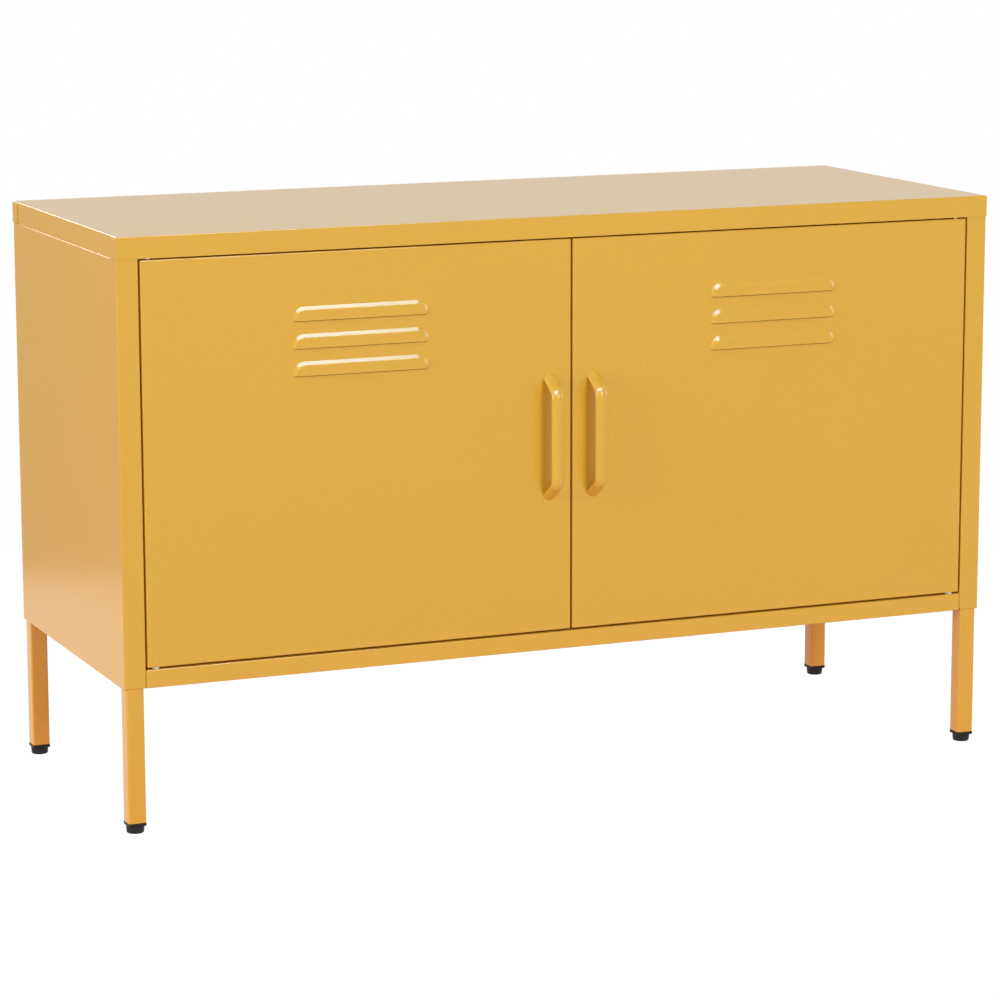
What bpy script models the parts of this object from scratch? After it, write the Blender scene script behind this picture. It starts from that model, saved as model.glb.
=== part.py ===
"""Two-door steel storage cabinet on four square legs, with louvred doors and bow handles.

Metres, +Z up.  The origin is on the floor, at the middle of the whole object's footprint.
The doors face -Y and +X is the right-hand side seen from the front.
Each object is one real piece: folded sheet panels, tube legs, feet, fixings and hinge pins.
"""

import math

import bmesh
import bpy
from mathutils import Vector

MM = 0.001

# Overall size
WIDTH = 1050 * MM
TOP_DEPTH = 400 * MM
HEIGHT = 650 * MM
CARCASS_BOTTOM = 161 * MM
SHEET = 0.8 * MM
FIT = 0.3 * MM
FOLD_RADIUS = 1.2 * MM

# Top panel
TOP_FLANGE = 24 * MM
TOP_LIP = 21 * MM

# Posts folded into the side panels
POST_WIDTH = 24.5 * MM
POST_RETURN = 45 * MM
POST_CORNER = 5 * MM

# Floor panel
FLOOR_FLANGE = 20 * MM
FLOOR_LIP = 12 * MM

# Doors
DOOR_SIDE_GAP = 1.9 * MM
DOOR_TOP_GAP = 1.8 * MM
DOOR_BOTTOM_GAP = 2.4 * MM
DOOR_THICKNESS = 16 * MM
DOOR_LIP = 12 * MM
HINGE_FROM_POST = 12.5 * MM
HINGE_BEHIND_FACE = 6 * MM
PIN_RADIUS = 2 * MM
PIN_HOLE_RADIUS = 2.5 * MM

# Louvres
LOUVRE_WIDTH = 158 * MM
LOUVRE_HEIGHT = 16 * MM
LOUVRE_OUT = 5 * MM
LOUVRE_PITCH = 30 * MM
LOUVRE_BELOW_TOP = 74 * MM
LOUVRE_CORNER = 12 * MM
LOUVRE_BEVEL = 3.5 * MM
LOUVRE_COUNT = 3

# Handles
HANDLE_OUT = 27 * MM
HANDLE_HEIGHT = 140 * MM
HANDLE_STRAIGHT = 104 * MM
HANDLE_WIDTH = 15 * MM
HANDLE_THICKNESS = 5.5 * MM
HANDLE_FROM_CENTRE = 26.5 * MM
HANDLE_SCREW_SPACING = 128 * MM

# Legs and feet
LEG_SIZE = 20 * MM
LEG_WALL = 1.2 * MM
LEG_BOTTOM = 12 * MM
LEG_INSERTION = 69 * MM
LEG_SIDE_GAP = 0.5 * MM
INSERT_FLANGE = 2.7 * MM
INSERT_STEM = 14 * MM
GLIDE_RADIUS = 9.7 * MM
GLIDE_HEIGHT = 8.7 * MM
STEM_RADIUS = 3 * MM

# Shelf
SHELF_TOP = 400 * MM
SHELF_FLANGE = 20 * MM
SHELF_SIDE_GAP = 1.5 * MM
SHELF_POST_GAP = 2.5 * MM
SHELF_FRONT_SETBACK = 26 * MM
CLIP_DEPTH = 14 * MM
CLIP_REACH = 12 * MM
CLIP_HEIGHT = 40 * MM
CLIP_SHEET = 1.5 * MM

# Screws: shank radius, head radius and head height
LEG_SCREW = (2.4 * MM, 4.5 * MM, 2.6 * MM)
TOP_SCREW = (1.9 * MM, 4.0 * MM, 2.2 * MM)
BACK_SCREW = (1.5 * MM, 3.2 * MM, 1.2 * MM)
HANDLE_SCREW = (1.4 * MM, 3.6 * MM, 2.2 * MM)
HOLE_CLEARANCE = 0.35 * MM

# Magnet catch
MAGNET_SIZE = (36 * MM, 7 * MM, 11 * MM)
MAGNET_GAP = 0.5 * MM

# Places that follow from the sizes above
PANEL_STEP = SHEET + FIT
DEPTH = TOP_DEPTH - PANEL_STEP + HANDLE_OUT
BACK_Y = DEPTH / 2
FRONT_Y = BACK_Y - TOP_DEPTH
FACE_Y = FRONT_Y + PANEL_STEP
SIDE_X = WIDTH / 2 - PANEL_STEP
OPENING_X = WIDTH / 2 - POST_WIDTH
TOP_UNDERSIDE = HEIGHT - SHEET
OPENING_TOP = HEIGHT - TOP_FLANGE
FLOOR_TOP = CARCASS_BOTTOM + FLOOR_FLANGE
REAR_POST_Y = BACK_Y - 2 * PANEL_STEP - FIT
HINGE_X = OPENING_X - HINGE_FROM_POST
HINGE_Y = FACE_Y + HINGE_BEHIND_FACE
DOOR_BOTTOM = FLOOR_TOP + DOOR_BOTTOM_GAP
DOOR_TOP = OPENING_TOP - DOOR_TOP_GAP
DOOR_BACK_Y = FACE_Y + DOOR_THICKNESS
DOOR_OUTER_X = OPENING_X - DOOR_SIDE_GAP
DOOR_INNER_X = DOOR_SIDE_GAP / 2
HANDLE_Z = (DOOR_BOTTOM + DOOR_TOP) / 2
LEG_X = SIDE_X - SHEET - LEG_SIDE_GAP - LEG_SIZE / 2
LEG_FRONT_Y = FACE_Y + PANEL_STEP + LEG_SIZE / 2
LEG_REAR_Y = REAR_POST_Y - PANEL_STEP - LEG_SIZE / 2
LEG_TOP = CARCASS_BOTTOM + LEG_INSERTION
LEG_SCREW_Z = CARCASS_BOTTOM + FLOOR_FLANGE / 2
SIDES = (("left", -1), ("right", 1))

# Colours (linear), roughness, metallic
MUSTARD = ((0.720, 0.390, 0.075), 0.45, 0.0)
BLACK = ((0.018, 0.016, 0.015), 0.55, 0.0)
NYLON = ((0.80, 0.80, 0.77), 0.50, 0.0)
ZINC = ((0.62, 0.62, 0.63), 0.32, 1.0)
MAGNET = ((0.035, 0.032, 0.030), 0.60, 0.0)


def clear_scene():
    for old in list(bpy.data.objects):
        bpy.data.objects.remove(old)


def finish_material(name, finish):
    """One Principled material for one piece."""
    colour, roughness, metallic = finish
    material = bpy.data.materials.new(name + "_material")
    material.use_nodes = True
    shader = material.node_tree.nodes["Principled BSDF"]
    shader.inputs["Base Color"].default_value = (*colour, 1.0)
    shader.inputs["Roughness"].default_value = roughness
    shader.inputs["Metallic"].default_value = metallic
    material.diffuse_color = (*colour, 1.0)
    return material


def add_object(name, bm, finish=None, origin=(0, 0, 0)):
    """Turns a bmesh in world coordinates into an object whose origin is at origin."""
    bmesh.ops.recalc_face_normals(bm, faces=bm.faces)
    bmesh.ops.translate(bm, vec=-Vector(origin), verts=bm.verts)
    mesh = bpy.data.meshes.new(name)
    bm.to_mesh(mesh)
    bm.free()
    piece = bpy.data.objects.new(name, mesh)
    piece.location = origin
    bpy.context.scene.collection.objects.link(piece)
    if finish:
        mesh.materials.append(finish_material(name, finish))
    return piece


def as_cutter(piece):
    piece.display_type = "WIRE"
    piece.hide_render = True
    return piece


def combine(piece, tool, operation):
    """Adds an exact Boolean that keeps the tool as a hidden guide."""
    as_cutter(tool)
    modifier = piece.modifiers.new(operation.lower() + "_" + tool.name, "BOOLEAN")
    modifier.operation = operation
    modifier.solver = "EXACT"
    modifier.object = tool
    return piece


def add_box(bm, low, high):
    """A box between two corners, added to bm."""
    size = [b - a for a, b in zip(low, high)]
    centre = [(a + b) / 2 for a, b in zip(low, high)]
    made = bmesh.ops.create_cube(bm, size=1.0)
    bmesh.ops.scale(bm, vec=size, verts=made["verts"])
    bmesh.ops.translate(bm, vec=centre, verts=made["verts"])
    return made["verts"]


def box(name, low, high, finish=None, origin=(0, 0, 0)):
    bm = bmesh.new()
    add_box(bm, low, high)
    return add_object(name, bm, finish, origin)


def axis_frame(axis):
    """Two unit vectors square to axis, right-handed with it."""
    axis = Vector(axis).normalized()
    helper = Vector((0, 0, 1)) if abs(axis.z) < 0.9 else Vector((1, 0, 0))
    u = helper.cross(axis).normalized()
    return u, axis.cross(u), axis


def turned(name, base, axis, profile, finish=None, origin=(0, 0, 0), segments=16):
    """A solid turned about axis; profile is (radius, height) from the base upwards."""
    u, v, w = axis_frame(axis)
    base = Vector(base)
    bm = bmesh.new()
    rings = []
    for radius, height in profile:
        ring = []
        for i in range(segments):
            angle = 2 * math.pi * i / segments
            offset = u * math.cos(angle) * radius + v * math.sin(angle) * radius
            ring.append(bm.verts.new(base + offset + w * height))
        rings.append(ring)
    for lower, upper in zip(rings, rings[1:]):
        for i in range(segments):
            j = (i + 1) % segments
            bm.faces.new((lower[i], lower[j], upper[j], upper[i]))
    bm.faces.new(list(reversed(rings[0])))
    bm.faces.new(rings[-1])
    return add_object(name, bm, finish, origin)


def rod(name, start, end, radius, segments=12):
    """A plain round bar between two points, used to cut holes."""
    start, end = Vector(start), Vector(end)
    length = (end - start).length
    profile = ((radius, 0), (radius, length))
    return turned(name, start, end - start, profile, segments=segments)


def screw(name, seat, axis, sizes, length, origin=(0, 0, 0)):
    """A pan-head screw: seat is under the head, and the shank runs along axis."""
    shank, head, height = sizes
    seat, axis = Vector(seat), Vector(axis)
    crown = head * 0.72
    profile = (
        (crown, 0),
        (head, height * 0.45),
        (head, height),
        (shank, height),
        (shank, height + length - shank * 0.5),
        (shank * 0.5, height + length),
    )
    return turned(name, seat - axis * height, axis, profile, ZINC, origin, segments=10)


def filleted(path, radii, arc_steps=2):
    """The points of an open path whose corners are rounded to the given radii."""
    points = [Vector(path[0])]
    for i in range(1, len(path) - 1):
        before, corner, after = (Vector(path[k]) for k in (i - 1, i, i + 1))
        to_before = (before - corner).normalized()
        to_after = (after - corner).normalized()
        half = to_before.angle(to_after) / 2
        run = radii[i - 1] / math.tan(half)
        middle = (to_before + to_after).normalized()
        centre = corner + middle * (radii[i - 1] / math.sin(half))
        start = corner + to_before * run - centre
        end = corner + to_after * run - centre
        sweep = start.angle(end)
        for step in range(arc_steps + 1):
            t = step / arc_steps
            weight_start = math.sin((1 - t) * sweep) / math.sin(sweep)
            weight_end = math.sin(t * sweep) / math.sin(sweep)
            points.append(centre + start * weight_start + end * weight_end)
    points.append(Vector(path[-1]))
    return points


def offset_path(path, distance):
    """The path moved sideways to its left by distance, corners kept square."""
    moved = []
    for i, point in enumerate(path):
        point = Vector(point)
        normals = []
        if i > 0:
            run = (point - Vector(path[i - 1])).normalized()
            normals.append(Vector((-run.y, run.x)))
        if i < len(path) - 1:
            run = (Vector(path[i + 1]) - point).normalized()
            normals.append(Vector((-run.y, run.x)))
        shift = normals[0] if len(normals) == 1 else normals[0] + normals[1]
        moved.append(point + shift * distance)
    return moved


def folded_strip(name, path, low_z, high_z, finish):
    """Sheet folded along a plan path, its outer face on the path's right, standing in Z."""
    inner_path = offset_path(path, SHEET)
    turns = []
    for i in range(1, len(path) - 1):
        a = Vector(path[i]) - Vector(path[i - 1])
        b = Vector(path[i + 1]) - Vector(path[i])
        turns.append(a.x * b.y - a.y * b.x)
    outer_radii = [FOLD_RADIUS if t > 0 else FOLD_RADIUS - SHEET for t in turns]
    inner_radii = [FOLD_RADIUS - SHEET if t > 0 else FOLD_RADIUS for t in turns]
    outline = filleted(path, outer_radii) + list(reversed(filleted(inner_path, inner_radii)))
    return prism(name, [(p.x, p.y) for p in outline], low_z, high_z, finish)


def prism(name, outline, low_z, high_z, finish=None):
    """An outline in plan, extruded upwards."""
    bm = bmesh.new()
    face = bm.faces.new([bm.verts.new((x, y, low_z)) for x, y in outline])
    made = bmesh.ops.extrude_face_region(bm, geom=[face])
    top = [item for item in made["geom"] if isinstance(item, bmesh.types.BMVert)]
    bmesh.ops.translate(bm, vec=(0, 0, high_z - low_z), verts=top)
    return add_object(name, bm, finish)


def folded_tray(name, low, high, open_side, lip, finish, origin=(0, 0, 0)):
    """Sheet tray with rounded folds: five sides of a box, and a lip turned in at its rim."""
    axis = "xyz".index(open_side[1])
    sign = 1 if open_side[0] == "+" else -1
    bm = bmesh.new()
    add_box(bm, low, high)
    bmesh.ops.recalc_face_normals(bm, faces=bm.faces)
    opened = [f for f in bm.faces if f.normal[axis] * sign > 0.9]
    bmesh.ops.delete(bm, geom=opened, context="FACES")
    folds = [e for e in bm.edges if len(e.link_faces) == 2]
    bmesh.ops.bevel(bm, geom=folds, offset=FOLD_RADIUS, segments=2, profile=0.5, affect="EDGES")
    if lip:
        centre = [(a + b) / 2 for a, b in zip(low, high)]
        rim = [e for e in bm.edges if len(e.link_faces) == 1]
        made = bmesh.ops.extrude_edge_only(bm, edges=rim)
        for vert in (item for item in made["geom"] if isinstance(item, bmesh.types.BMVert)):
            for k in range(3):
                if k != axis:
                    vert.co[k] -= lip * (1 if vert.co[k] > centre[k] else -1)
    piece = add_object(name, bm, finish, origin)
    skin = piece.modifiers.new("sheet", "SOLIDIFY")
    skin.thickness = SHEET
    skin.offset = -1
    skin.use_even_offset = True
    skin.use_rim = True
    return piece


def make_top_panel():
    """Tray turned over, with a front lip for the hinge pins and four nuts under its sheet."""
    low = (-WIDTH / 2, FRONT_Y, OPENING_TOP)
    high = (WIDTH / 2, BACK_Y, HEIGHT)
    panel = folded_tray("top_panel", low, high, "-z", 0, MUSTARD)
    lip_x = OPENING_X - FIT
    lip = box(
        "top_lip_guide",
        (-lip_x, FRONT_Y + SHEET / 2, OPENING_TOP),
        (lip_x, FRONT_Y + TOP_LIP, OPENING_TOP + SHEET),
    )
    combine(panel, lip, "UNION")
    for side, sign in SIDES:
        for place, y in TOP_SCREW_YS:
            nut = turned(
                f"nut_guide_{side}_{place}",
                (sign * TOP_SCREW_X, y, TOP_TAB_Z + SHEET + FIT),
                (0, 0, 1),
                ((5 * MM, 0), (5 * MM, TOP_UNDERSIDE + SHEET / 2 - TOP_TAB_Z - SHEET - FIT)),
                segments=6,
            )
            combine(panel, nut, "UNION")
            hole = rod(
                f"nut_hole_{side}_{place}",
                (sign * TOP_SCREW_X, y, TOP_TAB_Z),
                (sign * TOP_SCREW_X, y, TOP_UNDERSIDE - FIT),
                TOP_SCREW[0] + HOLE_CLEARANCE,
            )
            combine(panel, hole, "DIFFERENCE")
        pin_hole = rod(
            f"top_pin_hole_{side}",
            (sign * HINGE_X, HINGE_Y, OPENING_TOP - SHEET),
            (sign * HINGE_X, HINGE_Y, OPENING_TOP + 2 * SHEET),
            PIN_HOLE_RADIUS,
        )
        combine(panel, pin_hole, "DIFFERENCE")
    return panel


def make_side_panel(side, sign):
    """Side sheet with a front and a rear post folded into it, and a fixing tab at the top."""
    outer = SIDE_X
    return_x = OPENING_X
    path = [
        (return_x, FACE_Y + POST_RETURN),
        (return_x, FACE_Y),
        (outer, FACE_Y),
        (outer, REAR_POST_Y),
        (return_x, REAR_POST_Y),
        (return_x, REAR_POST_Y - POST_RETURN),
    ]
    path = [(sign * x, y) for x, y in path]
    if sign < 0:
        path.reverse()
    top = TOP_UNDERSIDE - FIT
    panel = folded_strip(f"side_panel_{side}", path, CARCASS_BOTTOM, top, MUSTARD)
    tab = box(
        f"top_tab_guide_{side}",
        (min(sign * TOP_TAB_INNER_X, sign * (outer - SHEET / 2)), TOP_TAB_YS[0], TOP_TAB_Z),
        (max(sign * TOP_TAB_INNER_X, sign * (outer - SHEET / 2)), TOP_TAB_YS[1], TOP_TAB_Z + SHEET),
    )
    combine(panel, tab, "UNION")
    ledge = box(
        f"ledge_guide_{side}",
        (min(sign * LEDGE_INNER_X, sign * (outer - SHEET / 2)), LEDGE_YS[0], FLOOR_TOP - SHEET),
        (max(sign * LEDGE_INNER_X, sign * (outer - SHEET / 2)), LEDGE_YS[1], FLOOR_TOP),
    )
    combine(panel, ledge, "UNION")
    combine(panel, post_corner_cutter(side, sign), "DIFFERENCE")
    for place, y in TOP_SCREW_YS:
        hole = rod(
            f"tab_hole_{side}_{place}",
            (sign * TOP_SCREW_X, y, TOP_TAB_Z - SHEET),
            (sign * TOP_SCREW_X, y, TOP_TAB_Z + 2 * SHEET),
            TOP_SCREW[0] + HOLE_CLEARANCE,
        )
        combine(panel, hole, "DIFFERENCE")
    for place, y in LEG_YS:
        hole = rod(
            f"post_hole_{side}_{place}",
            (sign * (OPENING_X - SHEET), y, LEG_SCREW_Z),
            (sign * (OPENING_X + 2 * SHEET), y, LEG_SCREW_Z),
            LEG_SCREW[0] + HOLE_CLEARANCE,
        )
        combine(panel, hole, "DIFFERENCE")
    for level, z in BACK_SCREW_ZS:
        hole = rod(
            f"rear_hole_{side}_{level}",
            (sign * BACK_SCREW_X, REAR_POST_Y - 2 * SHEET, z),
            (sign * BACK_SCREW_X, REAR_POST_Y + SHEET, z),
            BACK_SCREW[0] + HOLE_CLEARANCE,
        )
        combine(panel, hole, "DIFFERENCE")
    return panel


def post_corner_cutter(side, sign):
    """What is cut away to round the lower inner corner of the front post."""
    steps = 5
    x0 = OPENING_X - FIT
    z0 = CARCASS_BOTTOM - FIT
    outline = [(x0, z0), (OPENING_X + POST_CORNER, z0)]
    for step in range(steps + 1):
        angle = math.pi / 2 * step / steps
        x = OPENING_X + POST_CORNER * (1 - math.sin(angle))
        z = CARCASS_BOTTOM + POST_CORNER * (1 - math.cos(angle))
        outline.append((x, z))
    outline.append((x0, CARCASS_BOTTOM + POST_CORNER))
    bm = bmesh.new()
    near_y = FACE_Y - FIT
    far_y = FACE_Y + 2 * SHEET
    front = [bm.verts.new((sign * x, near_y, z)) for x, z in outline]
    back = [bm.verts.new((sign * x, far_y, z)) for x, z in outline]
    bm.faces.new(front)
    bm.faces.new(list(reversed(back)))
    for i in range(len(outline)):
        j = (i + 1) % len(outline)
        bm.faces.new((front[i], back[i], back[j], front[j]))
    return add_object(f"post_corner_{side}", bm)


def make_floor_panel():
    """Tray turned over between the posts: its front flange is the rail under the doors."""
    low = (-(OPENING_X - FIT), FACE_Y, CARCASS_BOTTOM)
    high = (OPENING_X - FIT, REAR_POST_Y, FLOOR_TOP)
    panel = folded_tray("floor_panel", low, high, "-z", FLOOR_LIP, MUSTARD)
    for side, sign in SIDES:
        for place, y in LEG_YS:
            hole = rod(
                f"floor_side_hole_{side}_{place}",
                (sign * (OPENING_X - 3 * SHEET), y, LEG_SCREW_Z),
                (sign * (OPENING_X + SHEET), y, LEG_SCREW_Z),
                LEG_SCREW[0] + HOLE_CLEARANCE,
            )
            combine(panel, hole, "DIFFERENCE")
        pin_hole = rod(
            f"floor_pin_hole_{side}",
            (sign * HINGE_X, HINGE_Y, FLOOR_TOP - 2 * SHEET),
            (sign * HINGE_X, HINGE_Y, FLOOR_TOP + SHEET),
            PIN_HOLE_RADIUS,
        )
        combine(panel, pin_hole, "DIFFERENCE")
        rear_hole = rod(
            f"floor_rear_hole_{side}",
            (sign * BACK_LOW_SCREW_X, REAR_POST_Y - 2 * SHEET, LEG_SCREW_Z),
            (sign * BACK_LOW_SCREW_X, REAR_POST_Y + SHEET, LEG_SCREW_Z),
            BACK_SCREW[0] + HOLE_CLEARANCE,
        )
        combine(panel, rear_hole, "DIFFERENCE")
    return panel


def back_screw_places():
    """Name, x and z of each screw that holds the back panel."""
    places = []
    for side, sign in SIDES:
        for level, z in BACK_SCREW_ZS:
            places.append((f"{side}_{level}", sign * BACK_SCREW_X, z))
        places.append((f"{side}_bottom", sign * BACK_LOW_SCREW_X, LEG_SCREW_Z))
    return places


def make_back_panel():
    """Flat sheet over the rear posts and the floor panel, tucked up inside the top panel."""
    inner_y = REAR_POST_Y + FIT
    low = (-(SIDE_X - 2 * SHEET), inner_y, CARCASS_BOTTOM + SHEET)
    high = (SIDE_X - 2 * SHEET, inner_y + SHEET, TOP_UNDERSIDE - SHEET)
    panel = box("back_panel", low, high, MUSTARD)
    for name, x, z in back_screw_places():
        hole = rod(
            f"back_hole_{name}",
            (x, inner_y - SHEET, z),
            (x, inner_y + 2 * SHEET, z),
            BACK_SCREW[0] + HOLE_CLEARANCE,
        )
        combine(panel, hole, "DIFFERENCE")
    return panel


def make_back_screws():
    seat_y = REAR_POST_Y + FIT + SHEET + FIT
    for name, x, z in back_screw_places():
        screw(f"back_screw_{name}", (x, seat_y, z), (0, -1, 0), BACK_SCREW, 7 * MM)


def make_leg(name, sign, y):
    """Square tube standing inside the post, with a hole in its inner wall for the screw."""
    x = sign * LEG_X
    half = LEG_SIZE / 2
    corner = 2 * MM
    rings = []
    for shrink, radius in ((0, corner), (LEG_WALL, corner - LEG_WALL)):
        side = half - shrink
        ring = []
        for quarter in range(4):
            base = math.pi / 2 * quarter
            cx = (side - radius) * (1 if quarter in (0, 3) else -1)
            cy = (side - radius) * (1 if quarter in (0, 1) else -1)
            for step in range(3):
                angle = base + math.pi / 4 * step
                ring.append((x + cx + radius * math.cos(angle), y + cy + radius * math.sin(angle)))
        rings.append(ring)
    bm = bmesh.new()
    grid = []
    for ring in rings:
        for z in (LEG_BOTTOM, LEG_TOP):
            grid.append([bm.verts.new((px, py, z)) for px, py in ring])
    outer_low, outer_high, inner_low, inner_high = grid
    count = len(outer_low)
    for i in range(count):
        j = (i + 1) % count
        bm.faces.new((outer_low[i], outer_low[j], outer_high[j], outer_high[i]))
        bm.faces.new((inner_low[j], inner_low[i], inner_high[i], inner_high[j]))
        bm.faces.new((outer_high[i], outer_high[j], inner_high[j], inner_high[i]))
        bm.faces.new((outer_low[j], outer_low[i], inner_low[i], inner_low[j]))
    leg = add_object(f"leg_{name}", bm, MUSTARD)
    wall_x = LEG_X - half
    hole = rod(
        f"leg_hole_{name}",
        (sign * (wall_x - SHEET), y, LEG_SCREW_Z),
        (sign * (wall_x + 2 * LEG_WALL), y, LEG_SCREW_Z),
        LEG_SCREW[0] + HOLE_CLEARANCE,
    )
    return combine(leg, hole, "DIFFERENCE")


def make_foot_insert(name, x, y):
    """Black plastic plug in the leg's end, with a threaded hole for the levelling foot."""
    half = LEG_SIZE / 2
    neck = half - LEG_WALL - FIT
    flange_low = LEG_BOTTOM - FIT - INSERT_FLANGE
    flange_high = LEG_BOTTOM - FIT
    plug = box(
        f"foot_insert_{name}",
        (x - half, y - half, flange_low),
        (x + half, y + half, flange_high),
        BLACK,
    )
    stem = box(
        f"insert_stem_guide_{name}",
        (x - neck, y - neck, flange_low + INSERT_FLANGE / 2),
        (x + neck, y + neck, flange_high + INSERT_STEM),
    )
    combine(plug, stem, "UNION")
    hole = rod(
        f"insert_hole_{name}",
        (x, y, flange_low - FIT),
        (x, y, flange_high + INSERT_STEM + FIT),
        STEM_RADIUS + HOLE_CLEARANCE,
    )
    return combine(plug, hole, "DIFFERENCE")


def make_levelling_foot(name, x, y):
    """Round black glide on a threaded stem, screwed fully in at rest."""
    edge = 1.5 * MM
    stem_top = LEG_BOTTOM + INSERT_STEM + 4 * MM
    profile = (
        (GLIDE_RADIUS - 2 * edge, 0),
        (GLIDE_RADIUS - edge, 0.4 * edge),
        (GLIDE_RADIUS - 0.5 * edge, edge),
        (GLIDE_RADIUS, GLIDE_HEIGHT - 0.5 * edge),
        (GLIDE_RADIUS - 0.3 * edge, GLIDE_HEIGHT),
        (STEM_RADIUS, GLIDE_HEIGHT),
        (STEM_RADIUS, stem_top - edge / 2),
        (STEM_RADIUS - edge / 2, stem_top),
    )
    return turned(f"levelling_foot_{name}", (x, y, 0), (0, 0, 1), profile, BLACK, (x, y, 0))


def make_leg_screw(name, sign, y):
    """Screw from under the floor panel through its side flange and the post into the leg."""
    seat = (sign * (OPENING_X - FIT - SHEET - FIT), y, LEG_SCREW_Z)
    screw(f"leg_screw_{name}", seat, (sign, 0, 0), LEG_SCREW, 8 * MM)


def make_legs_and_feet():
    for side, sign in SIDES:
        for place, y in LEG_YS:
            name = f"{place}_{side}"
            make_leg(name, sign, y)
            make_foot_insert(name, sign * LEG_X, y)
            make_levelling_foot(name, sign * LEG_X, y)
            make_leg_screw(name, sign, y)


def make_top_screws():
    """Screws from inside the cabinet, up through the side panels' tabs into the nuts."""
    for side, sign in SIDES:
        for place, y in TOP_SCREW_YS:
            seat = (sign * TOP_SCREW_X, y, TOP_TAB_Z - FIT)
            screw(f"top_screw_{place}_{side}", seat, (0, 0, 1), TOP_SCREW, 3.6 * MM)


def louvre_outline(width, height, radius, steps=4):
    """Front view of a hood as (x, z): a straight lower edge and two rounded upper corners."""
    points = [(-width / 2, 0), (width / 2, 0)]
    for quarter, corner_x in ((0, width / 2 - radius), (1, -(width / 2 - radius))):
        for step in range(steps + 1):
            angle = math.pi / 2 * (quarter + step / steps)
            z = height - radius + radius * math.sin(angle)
            points.append((corner_x + radius * math.cos(angle), z))
    return points


def louvre_solid(name, centre_x, low_z, shrink, drop, back_y):
    """A pressed hood: the lower edge stands furthest out and the top edge meets the door."""
    width = LOUVRE_WIDTH - 2 * shrink
    height = LOUVRE_HEIGHT - shrink
    radius = LOUVRE_CORNER - shrink
    out = LOUVRE_OUT - shrink
    outline = louvre_outline(width, height, radius)
    rise = LOUVRE_HEIGHT / 3
    inset = LOUVRE_BEVEL
    bm = bmesh.new()
    back, rim, brow, crown = [], [], [], []
    for x, z in outline:
        side = math.copysign(1, x)
        z_out = low_z + (z if z > 0 else -drop)
        inner_x = centre_x + x - side * min(inset, abs(x))
        inner_z = low_z + (z if z <= 0 else max(z - inset, 0))
        crown_z = low_z + min(max(z - inset, 0), height - rise)
        back.append(bm.verts.new((centre_x + x, back_y, z_out)))
        rim.append(bm.verts.new((centre_x + x, FACE_Y, z_out)))
        brow.append(bm.verts.new((inner_x, FACE_Y - 0.75 * out, inner_z - (drop if z <= 0 else 0))))
        crown.append(bm.verts.new((inner_x, FACE_Y - out, crown_z - (drop if z <= 0 else 0))))
    count = len(outline)
    for lower, upper in ((back, rim), (rim, brow), (brow, crown)):
        for i in range(count):
            j = (i + 1) % count
            bm.faces.new((lower[i], lower[j], upper[j], upper[i]))
    bm.faces.new(list(reversed(back)))
    bm.faces.new(crown)
    bmesh.ops.remove_doubles(bm, verts=bm.verts, dist=0.00001)
    return add_object(name, bm)


def add_louvres(door, side, centre_x):
    """Three hoods pressed out of the door's face, each open downwards and to the back."""
    for i in range(LOUVRE_COUNT):
        low_z = DOOR_TOP - LOUVRE_BELOW_TOP - LOUVRE_PITCH * i
        hood = louvre_solid(f"hood_{side}_{i}", centre_x, low_z, 0, 0, FACE_Y + SHEET / 2)
        combine(door, hood, "UNION")
        hollow_back = FACE_Y + 2 * SHEET
        hollow = louvre_solid(f"hollow_{side}_{i}", centre_x, low_z, SHEET, SHEET / 2, hollow_back)
        combine(door, hollow, "DIFFERENCE")


def make_door(side, sign):
    """Folded pan, open at the back, that turns on a pin at its top and another at its foot."""
    near, far = sorted((sign * DOOR_INNER_X, sign * DOOR_OUTER_X))
    low = (near, FACE_Y, DOOR_BOTTOM)
    high = (far, DOOR_BACK_Y, DOOR_TOP)
    pivot = (sign * HINGE_X, HINGE_Y, DOOR_BOTTOM)
    door = folded_tray(f"door_{side}", low, high, "+y", DOOR_LIP, MUSTARD, pivot)
    add_louvres(door, side, (near + far) / 2)
    for end, z in (("top", DOOR_TOP), ("bottom", DOOR_BOTTOM)):
        hole = rod(
            f"door_pin_hole_{side}_{end}",
            (sign * HINGE_X, HINGE_Y, z - 2 * SHEET),
            (sign * HINGE_X, HINGE_Y, z + 2 * SHEET),
            PIN_HOLE_RADIUS,
        )
        combine(door, hole, "DIFFERENCE")
    for end, z in HANDLE_SCREW_ZS:
        hole = rod(
            f"door_handle_hole_{side}_{end}",
            (sign * HANDLE_FROM_CENTRE, FACE_Y - SHEET, z),
            (sign * HANDLE_FROM_CENTRE, FACE_Y + 2 * SHEET, z),
            HANDLE_SCREW[0] + HOLE_CLEARANCE,
        )
        combine(door, hole, "DIFFERENCE")
    return door


def make_door_stiffener(side, sign):
    """Top-hat section inside the door pan that keeps its face from drumming."""
    flat, crest, deep = 12 * MM, 24 * MM, 11 * MM
    front_y = FACE_Y + SHEET + FIT
    x = sign * (DOOR_INNER_X + DOOR_OUTER_X) / 2
    half = flat + crest / 2
    path = [
        (x - half, front_y),
        (x - crest / 2, front_y),
        (x - crest / 2, front_y + deep),
        (x + crest / 2, front_y + deep),
        (x + crest / 2, front_y),
        (x + half, front_y),
    ]
    low_z = DOOR_BOTTOM + 20 * MM
    high_z = DOOR_TOP - LOUVRE_BELOW_TOP - LOUVRE_PITCH * LOUVRE_COUNT
    piece = folded_strip(f"door_stiffener_{side}", path, low_z, high_z, MUSTARD)
    return piece


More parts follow.
